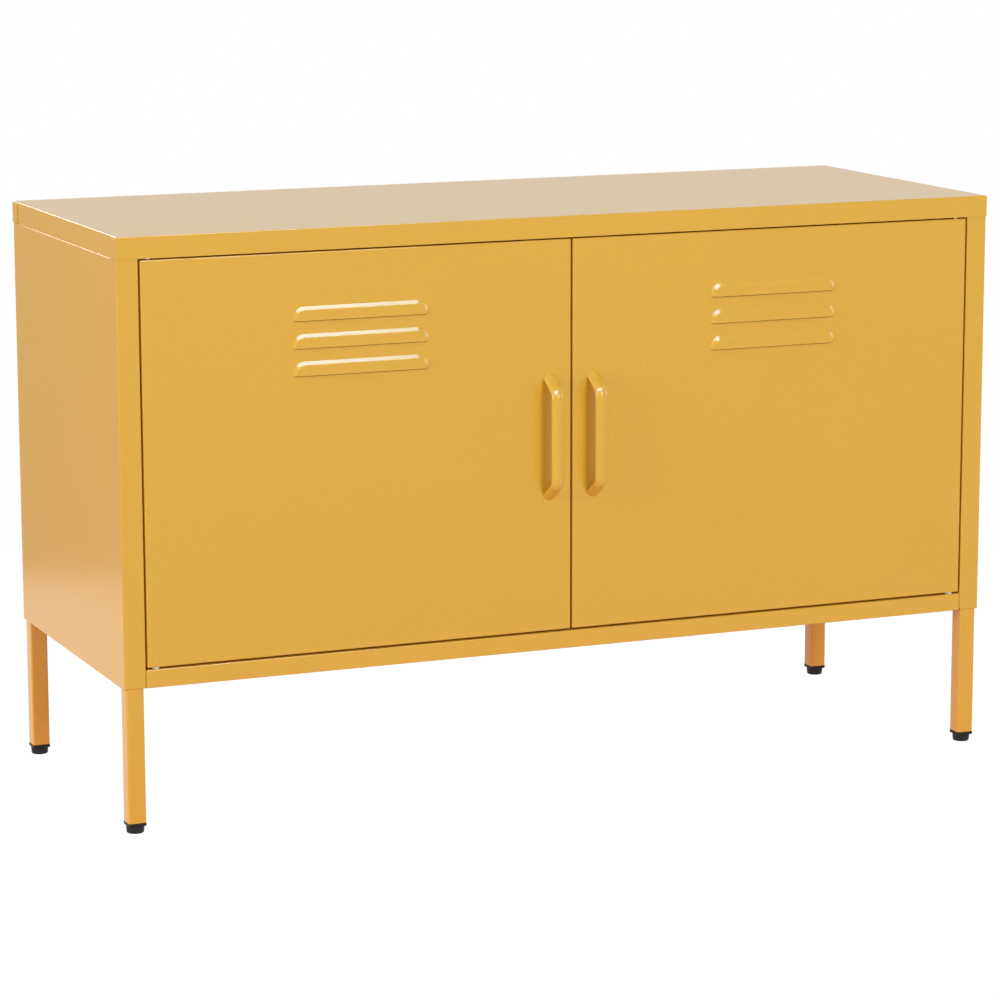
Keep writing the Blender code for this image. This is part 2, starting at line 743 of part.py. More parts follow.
def handle_path():
    """Side view of the bow's middle line as (out from the door, z)."""
    half = HANDLE_HEIGHT / 2 - HANDLE_THICKNESS / 2
    straight = HANDLE_STRAIGHT / 2
    out = HANDLE_OUT - HANDLE_THICKNESS / 2
    corners = [(FIT, -half), (out, -straight), (out, straight), (FIT, half)]
    return filleted(corners, [9 * MM, 9 * MM], arc_steps=4)


def make_handle(side, sign):
    """Bow of rounded section whose two feet stand on the door's face."""
    x = sign * HANDLE_FROM_CENTRE
    half_width = HANDLE_WIDTH / 2
    half_thick = HANDLE_THICKNESS / 2
    path = handle_path()
    bm = bmesh.new()
    rings = []
    for i, point in enumerate(path):
        before = path[max(i - 1, 0)]
        after = path[min(i + 1, len(path) - 1)]
        run = (after - before).normalized()
        outward = Vector((run.y, -run.x))
        stretch = 1.0
        if i in (0, len(path) - 1):
            outward = Vector((0, math.copysign(1, point.y)))
            stretch = 1 / abs(run.x)
        ring = []
        for across, thick in HANDLE_SECTION:
            place = point + outward * thick * half_thick * stretch
            ring.append(bm.verts.new((x + across * half_width, FACE_Y - place.x, HANDLE_Z + place.y)))
        rings.append(ring)
    count = len(HANDLE_SECTION)
    for lower, upper in zip(rings, rings[1:]):
        for i in range(count):
            j = (i + 1) % count
            bm.faces.new((lower[i], lower[j], upper[j], upper[i]))
    bm.faces.new(list(reversed(rings[0])))
    bm.faces.new(rings[-1])
    handle = add_object(f"handle_{side}", bm, MUSTARD)
    for end, z in HANDLE_SCREW_ZS:
        hole = rod(
            f"handle_hole_{side}_{end}",
            (x, FACE_Y + FIT, z),
            (x, FACE_Y - 5 * MM, z),
            HANDLE_SCREW[0] + HOLE_CLEARANCE,
        )
        combine(handle, hole, "DIFFERENCE")
        seat = (x, FACE_Y + SHEET + FIT, z)
        screw(f"handle_screw_{side}_{end}", seat, (0, -1, 0), HANDLE_SCREW, 5 * MM)
    return handle


def make_hinge_pins(side, sign):
    """A headed pin at the door's top and foot, and a white washer that carries the door."""
    x, y = sign * HINGE_X, HINGE_Y
    head_radius, head = 4 * MM, 1.5 * MM
    top_seat = DOOR_TOP - SHEET - FIT
    top_profile = (
        (head_radius, 0),
        (head_radius, head),
        (PIN_RADIUS, head),
        (PIN_RADIUS, head + OPENING_TOP + 3 * MM - top_seat),
    )
    turned(f"hinge_pin_top_{side}", (x, y, top_seat - head), (0, 0, 1), top_profile, ZINC)
    low_seat = FLOOR_TOP - SHEET - FIT
    low_profile = (
        (head_radius, 0),
        (head_radius, head),
        (PIN_RADIUS, head),
        (PIN_RADIUS, head + DOOR_BOTTOM + 5 * MM - low_seat),
    )
    turned(f"hinge_pin_bottom_{side}", (x, y, low_seat - head), (0, 0, 1), low_profile, ZINC)
    washer = turned(
        f"hinge_washer_{side}",
        (x, y, FLOOR_TOP + FIT),
        (0, 0, 1),
        ((4.5 * MM, 0), (4.5 * MM, DOOR_BOTTOM_GAP - 2 * FIT)),
        NYLON,
    )
    hole = rod(
        f"washer_hole_{side}",
        (x, y, FLOOR_TOP - FIT),
        (x, y, DOOR_BOTTOM + FIT),
        PIN_RADIUS + HOLE_CLEARANCE,
    )
    combine(washer, hole, "DIFFERENCE")


def make_magnet_catch():
    """Hanging bracket behind the top lip with one magnet block for each door."""
    width, depth, height = MAGNET_SIZE
    front_y = DOOR_BACK_Y + MAGNET_GAP
    plate_y = front_y + depth + FIT
    half = width + 8 * MM
    top_z = TOP_UNDERSIDE - FIT
    low_z = OPENING_TOP - DOOR_TOP_GAP - 4 * MM - height
    bracket = box(
        "catch_bracket",
        (-half, plate_y, low_z),
        (half, plate_y + 1.2 * MM, top_z),
        MUSTARD,
    )
    foot = box(
        "catch_foot_guide",
        (-half, plate_y + 0.6 * MM, top_z - 1.2 * MM),
        (half, plate_y + 18 * MM, top_z),
    )
    combine(bracket, foot, "UNION")
    for side, sign in SIDES:
        near, far = sorted((sign * 6 * MM, sign * (6 * MM + width)))
        low = (near, front_y, low_z)
        high = (far, front_y + depth, low_z + height)
        box(f"magnet_{side}", low, high, MAGNET)


def make_shelf():
    """Loose shelf: a tray turned over, notched round the four posts, that rests on clips."""
    half = SIDE_X - SHEET - SHELF_SIDE_GAP
    low = (-half, SHELF_FRONT_Y, SHELF_TOP - SHELF_FLANGE)
    high = (half, SHELF_REAR_Y, SHELF_TOP)
    shelf = folded_tray("shelf", low, high, "-z", FLOOR_LIP, MUSTARD)
    notch_x = OPENING_X - SHELF_POST_GAP
    reach = POST_RETURN + SHELF_SIDE_GAP
    for side, sign in SIDES:
        ends = sorted((sign * notch_x, sign * WIDTH / 2))
        for place, ys in (
            ("front", (FRONT_Y, FACE_Y + reach)),
            ("rear", (REAR_POST_Y - reach, BACK_Y)),
        ):
            notch = box(
                f"shelf_notch_{place}_{side}",
                (ends[0], ys[0], SHELF_TOP - 2 * SHELF_FLANGE),
                (ends[1], ys[1], SHELF_TOP + SHELF_FLANGE),
            )
            combine(shelf, notch, "DIFFERENCE")
    return shelf


def make_shelf_clips():
    """Angle clips on the posts' inner faces, under the shelf's sheet."""
    top_z = SHELF_TOP - SHEET - FIT
    wall_x = OPENING_X - FIT
    for side, sign in SIDES:
        for place, y in CLIP_YS:
            ends = sorted((sign * wall_x, sign * (wall_x - CLIP_REACH)))
            clip = box(
                f"shelf_clip_{place}_{side}",
                (ends[0], y - CLIP_DEPTH / 2, top_z - CLIP_SHEET),
                (ends[1], y + CLIP_DEPTH / 2, top_z),
                ZINC,
            )
            ends = sorted((sign * wall_x, sign * (wall_x - CLIP_SHEET)))
            upright = box(
                f"clip_upright_{place}_{side}",
                (ends[0], y - CLIP_DEPTH / 2, top_z - CLIP_HEIGHT),
                (ends[1], y + CLIP_DEPTH / 2, top_z - CLIP_SHEET / 2),
            )
            combine(clip, upright, "UNION")


# Fixing places shared by the pieces that they join
LEG_YS = (("front", LEG_FRONT_Y), ("rear", LEG_REAR_Y))
TOP_TAB_Z = TOP_UNDERSIDE - 4.3 * MM
TOP_TAB_INNER_X = OPENING_X + 2 * MM
TOP_TAB_YS = (FACE_Y + POST_RETURN + 10 * MM, REAR_POST_Y - POST_RETURN - 10 * MM)
LEDGE_INNER_X = OPENING_X + FIT
LEDGE_YS = (FACE_Y + POST_RETURN + FIT, REAR_POST_Y - POST_RETURN - FIT)
SHELF_FRONT_Y = FACE_Y + SHELF_FRONT_SETBACK
SHELF_REAR_Y = REAR_POST_Y - SHELF_POST_GAP
TOP_SCREW_X = (OPENING_X + SIDE_X) / 2
TOP_SCREW_YS = (("front", TOP_TAB_YS[0] + 20 * MM), ("rear", TOP_TAB_YS[1] - 20 * MM))
BACK_SCREW_X = (OPENING_X + SIDE_X) / 2
BACK_SCREW_ZS = (("middle", 330 * MM), ("top", 600 * MM))
BACK_LOW_SCREW_X = 320 * MM
HANDLE_SCREW_ZS = (
    ("top", HANDLE_Z + HANDLE_SCREW_SPACING / 2),
    ("bottom", HANDLE_Z - HANDLE_SCREW_SPACING / 2),
)
CLIP_YS = (
    ("front", FACE_Y + POST_RETURN - CLIP_DEPTH / 2 - 2 * MM),
    ("rear", REAR_POST_Y - POST_RETURN + CLIP_DEPTH / 2 + 2 * MM),
)

# Handle section: a flat back and a crowned front, as fractions of half width and half thickness
HANDLE_SECTION = (
    (-0.94, -1.0),
    (0.94, -1.0),
    (1.0, -0.4),
    (0.86, 0.35),
    (0.5, 0.85),
    (0.0, 1.0),
    (-0.5, 0.85),
    (-0.86, 0.35),
    (-1.0, -0.4),
)


def build():
    clear_scene()
    make_top_panel()
    make_floor_panel()
    make_back_panel()
    make_back_screws()
    make_top_screws()
    make_legs_and_feet()
    make_shelf()
    make_shelf_clips()
    make_magnet_catch()
    for side, sign in SIDES:
        make_side_panel(side, sign)
        make_door(side, sign)
        make_door_stiffener(side, sign)
        make_handle(side, sign)
        make_hinge_pins(side, sign)


build()
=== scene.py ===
"""Looks of the two-door steel cabinet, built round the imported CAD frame. Lengths are in metres."""
import math

import bmesh
import bpy
from mathutils import Matrix, Vector


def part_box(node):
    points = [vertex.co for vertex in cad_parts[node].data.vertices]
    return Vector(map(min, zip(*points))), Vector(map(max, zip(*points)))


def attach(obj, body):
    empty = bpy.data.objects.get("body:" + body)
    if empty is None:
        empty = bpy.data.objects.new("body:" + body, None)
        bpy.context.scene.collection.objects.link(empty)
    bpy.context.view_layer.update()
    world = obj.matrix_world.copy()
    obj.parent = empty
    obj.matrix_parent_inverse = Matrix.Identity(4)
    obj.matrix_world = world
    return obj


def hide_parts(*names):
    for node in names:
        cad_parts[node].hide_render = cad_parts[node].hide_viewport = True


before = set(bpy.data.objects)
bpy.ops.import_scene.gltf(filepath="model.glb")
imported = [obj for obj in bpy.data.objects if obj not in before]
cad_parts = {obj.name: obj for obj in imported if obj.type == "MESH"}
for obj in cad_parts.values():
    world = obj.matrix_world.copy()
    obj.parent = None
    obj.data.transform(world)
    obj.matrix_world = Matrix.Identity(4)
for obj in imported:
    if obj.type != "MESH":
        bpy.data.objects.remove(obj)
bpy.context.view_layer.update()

MM = 0.001
SIDES = (("left", -1), ("right", 1))

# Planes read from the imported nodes
CAP_LOW, CAP_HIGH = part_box("top_panel")
SIDE_LOW, SIDE_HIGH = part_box("side_panel_right")
FLOOR_LOW, FLOOR_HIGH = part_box("floor_panel")
BACK_LOW, BACK_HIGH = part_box("back_panel")
SHELF_LOW, SHELF_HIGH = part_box("shelf")
OPENING_X = SIDE_LOW.x
FACE_Y = SIDE_LOW.y
REAR_POST_Y = SIDE_HIGH.y
SIDE_X = SIDE_HIGH.x
FRONT_Y = CAP_LOW.y
HEIGHT = CAP_HIGH.z
OPENING_TOP = CAP_LOW.z
CARCASS_BOTTOM = SIDE_LOW.z
FLOOR_TOP = FLOOR_HIGH.z

# Sheet metal
SHEET = 0.8 * MM
FIT = 0.3 * MM
FOLD_RADIUS = 1.3 * MM
CAP_RADIUS = 1.0 * MM
RAIL_RADIUS = 1.0 * MM
FOLD_STEPS = 6
TOP_LIP = 21 * MM
FLOOR_LIP = 12 * MM
DOOR_LIP = 12 * MM
POST_RETURN = 45 * MM
POST_CORNER = 5 * MM
SHARP_ANGLE = math.radians(34)
WELD = 0.002 * MM

# Radii of the holes
PIN_HOLE = 2.5 * MM
WASHER_HOLE = 2.35 * MM
TOP_SCREW_HOLE = 2.25 * MM
LEG_SCREW_HOLE = 2.75 * MM
BACK_SCREW_HOLE = 1.85 * MM
HANDLE_SCREW_HOLE = 1.75 * MM
THREAD_HOLE = 3.35 * MM


# ---------------------------------------------------------------- mesh helpers


def add_object(name, bm):
    """An object at the origin whose mesh is bm."""
    bmesh.ops.recalc_face_normals(bm, faces=bm.faces)
    mesh = bpy.data.meshes.new(name)
    bm.to_mesh(mesh)
    bm.free()
    piece = bpy.data.objects.new(name, mesh)
    bpy.context.scene.collection.objects.link(piece)
    return piece


def combine(piece, tool, operation):
    """An exact Boolean with a tool that settle() removes again."""
    tool.hide_render = True
    modifier = piece.modifiers.new(tool.name, "BOOLEAN")
    modifier.operation = operation
    modifier.solver = "EXACT"
    modifier.object = tool
    return piece


def settle(piece):
    """Applies the modifiers of piece and removes their tools."""
    tools = [m.object for m in piece.modifiers if m.type == "BOOLEAN"]
    graph = bpy.context.evaluated_depsgraph_get()
    mesh = bpy.data.meshes.new_from_object(piece.evaluated_get(graph))
    piece.modifiers.clear()
    piece.data = mesh
    for tool in tools:
        bpy.data.objects.remove(tool)
    return piece


def put_in_order(mesh):
    """Orders points and faces by place, since a Boolean leaves them otherwise on each run."""
    points = [tuple(vertex.co) for vertex in mesh.vertices]
    order = sorted(range(len(points)), key=lambda i: points[i])
    rank = {old: new for new, old in enumerate(order)}
    faces = [[rank[i] for i in polygon.vertices] for polygon in mesh.polygons]
    mesh.clear_geometry()
    mesh.from_pydata([points[i] for i in order], [], sorted(faces, key=sorted))


def finish(piece, body, surface, *nodes):
    """Applies modifiers, sets the shading and the material, and joins piece to its body."""
    material, slot = surface
    settle(piece)
    put_in_order(piece.data)
    bm = bmesh.new()
    bm.from_mesh(piece.data)
    bmesh.ops.remove_doubles(bm, verts=bm.verts, dist=WELD)
    for face in bm.faces:
        face.smooth = True
    for edge in bm.edges:
        edge.smooth = len(edge.link_faces) == 2 and edge.calc_face_angle(0) < SHARP_ANGLE
    bm.to_mesh(piece.data)
    bm.free()
    shading = piece.modifiers.new("shading", "WEIGHTED_NORMAL")
    shading.keep_sharp = True
    shading.weight = 80
    piece.data.materials.clear()
    piece.data.materials.append(material)
    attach(piece, body)
    if nodes:
        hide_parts(*nodes)
    return piece


def add_box(bm, low, high):
    """Adds a block between two corners to bm."""
    size = [b - a for a, b in zip(low, high)]
    centre = [(a + b) / 2 for a, b in zip(low, high)]
    made = bmesh.ops.create_cube(bm, size=1.0)
    bmesh.ops.scale(bm, vec=size, verts=made["verts"])
    bmesh.ops.translate(bm, vec=centre, verts=made["verts"])


def box(name, low, high, bevel=0.0):
    """A block between two corners, with its edges rounded by bevel."""
    low, high = ([f(a, b) for a, b in zip(low, high)] for f in (min, max))
    bm = bmesh.new()
    add_box(bm, low, high)
    if bevel:
        bmesh.ops.bevel(bm, geom=bm.edges[:], offset=bevel, segments=3, profile=0.5, affect="EDGES")
    return add_object(name, bm)


def axis_frame(axis):
    """Two unit vectors square to axis, right-handed with it."""
    axis = Vector(axis).normalized()
    helper = Vector((0, 0, 1)) if abs(axis.z) < 0.9 else Vector((1, 0, 0))
    u = helper.cross(axis).normalized()
    return u, axis.cross(u), axis


def skin(bm, rings):
    """Faces between closed rings of equal length, with a cap at both ends."""
    count = len(rings[0])
    for lower, upper in zip(rings, rings[1:]):
        for i in range(count):
            j = (i + 1) % count
            bm.faces.new((lower[i], lower[j], upper[j], upper[i]))
    bm.faces.new(list(reversed(rings[0])))
    bm.faces.new(rings[-1])


def loft(name, rings):
    """A solid skinned over rings, each a list of as many points."""
    bm = bmesh.new()
    skin(bm, [[bm.verts.new(point) for point in ring] for ring in rings])
    return add_object(name, bm)


def turned(name, base, axis, profile, segments=48):
    """A solid turned about axis; profile is (radius, height) from the base upwards."""
    u, v, w = axis_frame(axis)
    base = Vector(base)
    rings = []
    for radius, height in profile:
        ring = []
        for i in range(segments):
            angle = 2 * math.pi * i / segments
            offset = u * math.cos(angle) * radius + v * math.sin(angle) * radius
            ring.append(base + offset + w * height)
        rings.append(ring)
    return loft(name, rings)


def rod(name, start, end, radius, segments=24):
    """A plain round bar between two points."""
    start, end = Vector(start), Vector(end)
    profile = ((radius, 0), (radius, (end - start).length))
    return turned(name, start, end - start, profile, segments)


def bore(piece, at, axis, start, end, radius):
    """Cuts a round hole through the point at, along X, Y or Z from start to end."""
    ends = [Vector(at), Vector(at)]
    for point, level in zip(ends, (start, end)):
        point["XYZ".index(axis)] = level
    combine(piece, rod("bore", *ends, radius), "DIFFERENCE")


def filleted(path, radii, steps=FOLD_STEPS):
    """The points of an open path whose corners are rounded to the given radii."""
    points = [Vector(path[0])]
    for i in range(1, len(path) - 1):
        before, corner, after = (Vector(path[k]) for k in (i - 1, i, i + 1))
        to_before = (before - corner).normalized()
        to_after = (after - corner).normalized()
        half = to_before.angle(to_after) / 2
        run = radii[i - 1] / math.tan(half)
        centre = corner + (to_before + to_after).normalized() * (radii[i - 1] / math.sin(half))
        start = corner + to_before * run - centre
        end = corner + to_after * run - centre
        sweep = start.angle(end)
        for step in range(steps + 1):
            t = step / steps
            a = math.sin((1 - t) * sweep) / math.sin(sweep)
            b = math.sin(t * sweep) / math.sin(sweep)
            points.append(centre + start * a + end * b)
    points.append(Vector(path[-1]))
    return points


def offset_path(path, distance):
    """The path moved to its left by distance, corners kept square."""
    moved = []
    for i, point in enumerate(path):
        shift = Vector((0, 0))
        for j in (i - 1, i):
            if 0 <= j < len(path) - 1:
                run = (Vector(path[j + 1]) - Vector(path[j])).normalized()
                shift += Vector((-run.y, run.x))
        moved.append(Vector(point) + shift * distance)
    return moved


def prism(name, outline, low_z, high_z):
    """An outline in plan, extruded upwards."""
    return loft(name, [[(x, y, z) for x, y in outline] for z in (low_z, high_z)])


def folded_strip(name, path, low_z, high_z, sheet=SHEET, radius=FOLD_RADIUS):
    """Sheet folded along a plan path, its outer face on the path's right, standing in Z."""
    inner_path = offset_path(path, sheet)
    turns = []
    for i in range(1, len(path) - 1):
        a = Vector(path[i]) - Vector(path[i - 1])
        b = Vector(path[i + 1]) - Vector(path[i])
        turns.append(a.x * b.y - a.y * b.x)
    outer = filleted(path, [radius if t > 0 else radius - sheet for t in turns])
    inner = filleted(inner_path, [radius - sheet if t > 0 else radius for t in turns])
    outline = [(p.x, p.y) for p in outer + list(reversed(inner))]
    return prism(name, outline, low_z, high_z)


def tray(name, low, high, open_side, lip=0.0, radius=FOLD_RADIUS):
    """Sheet tray with rounded folds: five sides of a box, and a lip turned in at its rim."""
    axis = "xyz".index(open_side[1])
    sign = 1 if open_side[0] == "+" else -1
    bm = bmesh.new()
    add_box(bm, low, high)
    bmesh.ops.recalc_face_normals(bm, faces=bm.faces)
    opened = [f for f in bm.faces if f.normal[axis] * sign > 0.9]
    bmesh.ops.delete(bm, geom=opened, context="FACES")
    folds = [e for e in bm.edges if len(e.link_faces) == 2]
    bmesh.ops.bevel(bm, geom=folds, offset=radius, segments=FOLD_STEPS, profile=0.5, affect="EDGES")
    if lip:
        turn_in(bm, low, high, axis, sign, lip, radius)
    piece = add_object(name, bm)
    sheet = piece.modifiers.new("sheet", "SOLIDIFY")
    sheet.thickness = SHEET
    sheet.offset = -1
    sheet.use_even_offset = True
    sheet.use_rim = True
    return piece


def turn_in(bm, low, high, axis, sign, lip, radius):
    """Rolls the open rim of a tray inwards through a rounded fold and runs it on as a lip."""
    centre = [(a + b) / 2 for a, b in zip(low, high)]
    rim = [e.link_loops[0] for e in bm.edges if len(e.link_faces) == 1]
    rim = [(loop.link_loop_next.vert, loop.vert) for loop in rim]
    for vert in dict.fromkeys(v for pair in rim for v in pair):
        vert.co[axis] -= sign * radius
    steps = FOLD_STEPS // 2
    moves = []
    for step in range(steps):
        a, b = (math.pi / 2 * k / steps for k in (step, step + 1))
        inward = radius * (math.cos(a) - math.cos(b))
        outward = radius * (math.sin(b) - math.sin(a))
        moves.append((inward, outward))
    moves.append((lip - radius, 0.0))
    # An extrude operator would make the faces in another order on each run
    for inward, outward in moves:
        made = {}
        for vert in dict.fromkeys(v for pair in rim for v in pair):
            point = vert.co.copy()
            for k in range(3):
                if k != axis:
                    point[k] -= inward * (1 if point[k] > centre[k] else -1)
            point[axis] += sign * outward
            made[vert] = bm.verts.new(point)
        for a, b in rim:
            bm.faces.new((a, b, made[b], made[a]))
        rim = [(made[a], made[b]) for a, b in rim]


# ---------------------------------------------------------------- materials


def new_material(name, colour, roughness, metallic=0.0):
    """A material of one Principled shader, and that shader."""
    material = bpy.data.materials.new(name)
    material.use_nodes = True
    shader = material.node_tree.nodes["Principled BSDF"]
    shader.inputs["Base Color"].default_value = (*colour, 1.0)
    shader.inputs["Roughness"].default_value = roughness
    shader.inputs["Metallic"].default_value = metallic
    return material, shader


def noise(material, scale, detail=2.0):
    """The Fac output of a noise fixed to the object, with scale cells to the metre."""
    nodes, links = material.node_tree.nodes, material.node_tree.links
    place = nodes.new("ShaderNodeTexCoord")
    cells = nodes.new("ShaderNodeTexNoise")
    cells.inputs["Scale"].default_value = scale
    cells.inputs["Detail"].default_value = detail
    links.new(place.outputs["Object"], cells.inputs["Vector"])
    return cells.outputs["Fac"]


def ranged(material, source, low, high):
    """Maps the middle of a noise, 0.3 to 0.7, to low and high."""
    nodes, links = material.node_tree.nodes, material.node_tree.links
    node = nodes.new("ShaderNodeMapRange")
    node.inputs["From Min"].default_value = 0.3
    node.inputs["From Max"].default_value = 0.7
    node.inputs["To Min"].default_value = low
    node.inputs["To Max"].default_value = high
    links.new(source, node.inputs["Value"])
    return node.outputs["Result"]


def blended(material, factor, first, second):
    """A colour between first and second, each a colour or another node's output."""
    nodes, links = material.node_tree.nodes, material.node_tree.links
    node = nodes.new("ShaderNodeMix")
    node.data_type = "RGBA"
    links.new(factor, node.inputs["Factor"])
    colours = [s for s in node.inputs if s.type == "RGBA"]
    for socket, value in zip(colours, (first, second)):
        if isinstance(value, tuple):
            socket.default_value = (*value, 1.0)
        else:
            links.new(value, socket)
    return [s for s in node.outputs if s.type == "RGBA"][0]


def bumped(material, shader, heights):
    """Stacks bumps on the shader; heights are (noise output, height in metres)."""
    nodes, links = material.node_tree.nodes, material.node_tree.links
    last = None
    for source, height in heights:
        bump = nodes.new("ShaderNodeBump")
        bump.inputs["Distance"].default_value = height
        bump.inputs["Strength"].default_value = 1.0
        links.new(source, bump.inputs["Height"])
        if last is not None:
            links.new(last, bump.inputs["Normal"])
        last = bump.outputs["Normal"]
    links.new(last, shader.inputs["Normal"])


def make_paint():
    """Satin powder coat: orange peel, a fine grain and a slight drift of the colour."""
    material, shader = new_material("mustard_powder_coat", (0.74, 0.40, 0.027), 0.3)
    links = material.node_tree.links
    shader.inputs["IOR"].default_value = 1.5
    drift = ranged(material, noise(material, 5.0), 0.0, 1.0)
    tone = blended(material, drift, (0.742, 0.423, 0.038), (0.756, 0.432, 0.040))
    grain = ranged(material, noise(material, 380.0, 4.0), 0.0, 0.8)
    colour = blended(material, grain, tone, (0.714, 0.399, 0.034))
    links.new(colour, shader.inputs["Base Color"])
    gloss = ranged(material, noise(material, 260.0), 0.175, 0.215)
    links.new(gloss, shader.inputs["Roughness"])
    peel = noise(material, 420.0, 1.0)
    fine = noise(material, 2400.0, 1.0)
    bumped(material, shader, ((peel, 0.000008), (fine, 0.0000006)))
    return material


def make_plain(name, colour, roughness, spread, grain, height, metallic=0.0, shine=0.5):
    """Moulded or plated stuff: an even colour with a little drift, and a grain of its own."""
    material, shader = new_material(name, colour, roughness, metallic)
    shader.inputs["Specular IOR Level"].default_value = shine
    links = material.node_tree.links
    dark = tuple(c * 0.86 for c in colour)
    drift = ranged(material, noise(material, 60.0), 0.0, 1.0)
    links.new(blended(material, drift, colour, dark), shader.inputs["Base Color"])
    gloss = ranged(material, noise(material, grain / 3), roughness - spread, roughness + spread)
    links.new(gloss, shader.inputs["Roughness"])
    bumped(material, shader, ((noise(material, grain, 3.0), height),))
    return material


PAINT = (make_paint(), "painted_steel")
PLASTIC = (
    make_plain("black_moulded_plastic", (0.012, 0.010, 0.009), 0.5, 0.06, 1800.0, 0.00001, 0, 0.25),
    "black_plastic",
)
NYLON = (make_plain("white_nylon", (0.80, 0.80, 0.76), 0.45, 0.05, 900.0, 0.00001), "white_nylon")
ZINC = (
    make_plain("bright_zinc_plate", (0.62, 0.63, 0.64), 0.28, 0.09, 700.0, 0.000006, 1.0),
    "zinc_steel",
)
MAGNET = (
    make_plain("dark_magnet_case", (0.035, 0.032, 0.030), 0.55, 0.06, 1500.0, 0.00001),
    "black_magnet",
)


# ---------------------------------------------------------------- screws


TOP_SCREW_SHANK = 3.6 * MM
TOP_SCREW_HEAD = 2.2 * MM
# Each kind: axis from head to tip, shank radius, head radius, head height, shank length
SCREW_KINDS = {
    "leg": ((1, 0, 0), 2.4 * MM, 4.5 * MM, 2.6 * MM, 8.0 * MM),
    "top": ((0, 0, 1), 1.9 * MM, 4.0 * MM, TOP_SCREW_HEAD, TOP_SCREW_SHANK),
    "back": ((0, -1, 0), 1.5 * MM, 3.2 * MM, 1.2 * MM, 7.0 * MM),
    "handle": ((0, -1, 0), 1.4 * MM, 3.6 * MM, 2.2 * MM, 5.0 * MM),
}
SCREW_MESHES = {}


def screw_template(kind, shank, head, height, length):
    """A pan head with a domed top and a cross recess, seated at the origin, shank along +Z."""
    profile = [(head * 0.05, -height)]
    steps = 7
    for i in range(1, steps + 1):
        angle = math.pi / 2 * i / steps
        radius = head * (0.25 + 0.75 * math.sin(angle))
        profile.append((radius, -height * (0.35 + 0.65 * math.cos(angle))))
    profile.append((head, -height * 0.08))
    profile.append((head * 0.95, 0))
    profile.append((shank, 0))
    profile.append((shank, length - shank * 0.5))
    profile.append((shank * 0.5, length))
    piece = turned("screw_template", (0, 0, 0), (0, 0, 1), profile, 32)
    reach = head * 0.55
    width = head * 0.09
    for name, x, y in (("recess_a", reach, width), ("recess_b", width, reach)):
        slot = box(name, (-x, -y, -height * 1.2), (x, y, -height * 0.35))
        combine(piece, slot, "DIFFERENCE")
    settle(piece)
    mesh = piece.data
    bpy.data.objects.remove(piece)
    SCREW_MESHES[kind] = mesh
    return mesh


def screw(node, kind, body, sign=1):
    """A screw where the CAD node stands; a sign of -1 turns its axis round."""
    axis, shank, head, height, length = SCREW_KINDS[kind]
    axis = Vector(axis) * sign
    low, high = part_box(node)
    span = abs((high - low).dot(axis))
    seat = (low + high) / 2 - axis * (span / 2 - height)
    source = SCREW_MESHES.get(kind) or screw_template(kind, shank, head, height, length)
    turn = Matrix(axis_frame(axis)).transposed().to_4x4()
    mesh = source.copy()
    mesh.transform(Matrix.Translation(seat) @ turn)
    piece = bpy.data.objects.new(node + "_detail", mesh)
    bpy.context.scene.collection.objects.link(piece)
    return finish(piece, body, ZINC, node)


def node_centre(node):
    """The middle of a CAD node's box."""
    low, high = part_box(node)
    return (low + high) / 2


# ---------------------------------------------------------------- carcass


HINGE = {side: node_centre(f"hinge_pin_top_{side}") for side, _ in SIDES}
NUT = 5 * MM
TAB_LENGTH = 20 * MM
TAB_DROP = 5.5 * MM
TAB_PROUD = 0.7 * MM
SEAM = 0.6 * MM
SEAM_DEEP = 0.35 * MM
SKIN_X = CAP_HIGH.x - 0.1 * MM
SKIN = 1.2 * MM
SHOULDER = 1.0 * MM
NECK = 6 * MM
FOOT_CHAMFER = 1.0 * MM
TOP_TAB_INSET = 2 * MM
TOP_TAB_CLEAR = 10 * MM
BACK_CORNER = 3 * MM


def lap_corner(cap, x, sign, end_y, into):
    """Adds the tab lapped over the cap's side flange at one corner, and cuts the seams round it."""
    seam_y = end_y + into * TAB_LENGTH
    level = HEIGHT - TAB_DROP
    near, far = x - sign * SEAM_DEEP, x + sign * FIT
    tab = box(
        "corner_tab",
        (x, end_y, OPENING_TOP),
        (x - sign * (TAB_PROUD + SHEET / 2), seam_y, HEIGHT - CAP_RADIUS),
        0.2 * MM,
    )
    combine(cap, tab, "UNION")
    upright = box(
        "tab_seam",
        (near - sign * TAB_PROUD, seam_y, OPENING_TOP - FIT),
        (far, seam_y + into * SEAM, level),
    )
    combine(cap, upright, "DIFFERENCE")
    relief = box(
        "tab_relief", (near, seam_y, level - SEAM), (far, end_y + into * 2 * SHEET, level)
    )
    combine(cap, relief, "DIFFERENCE")


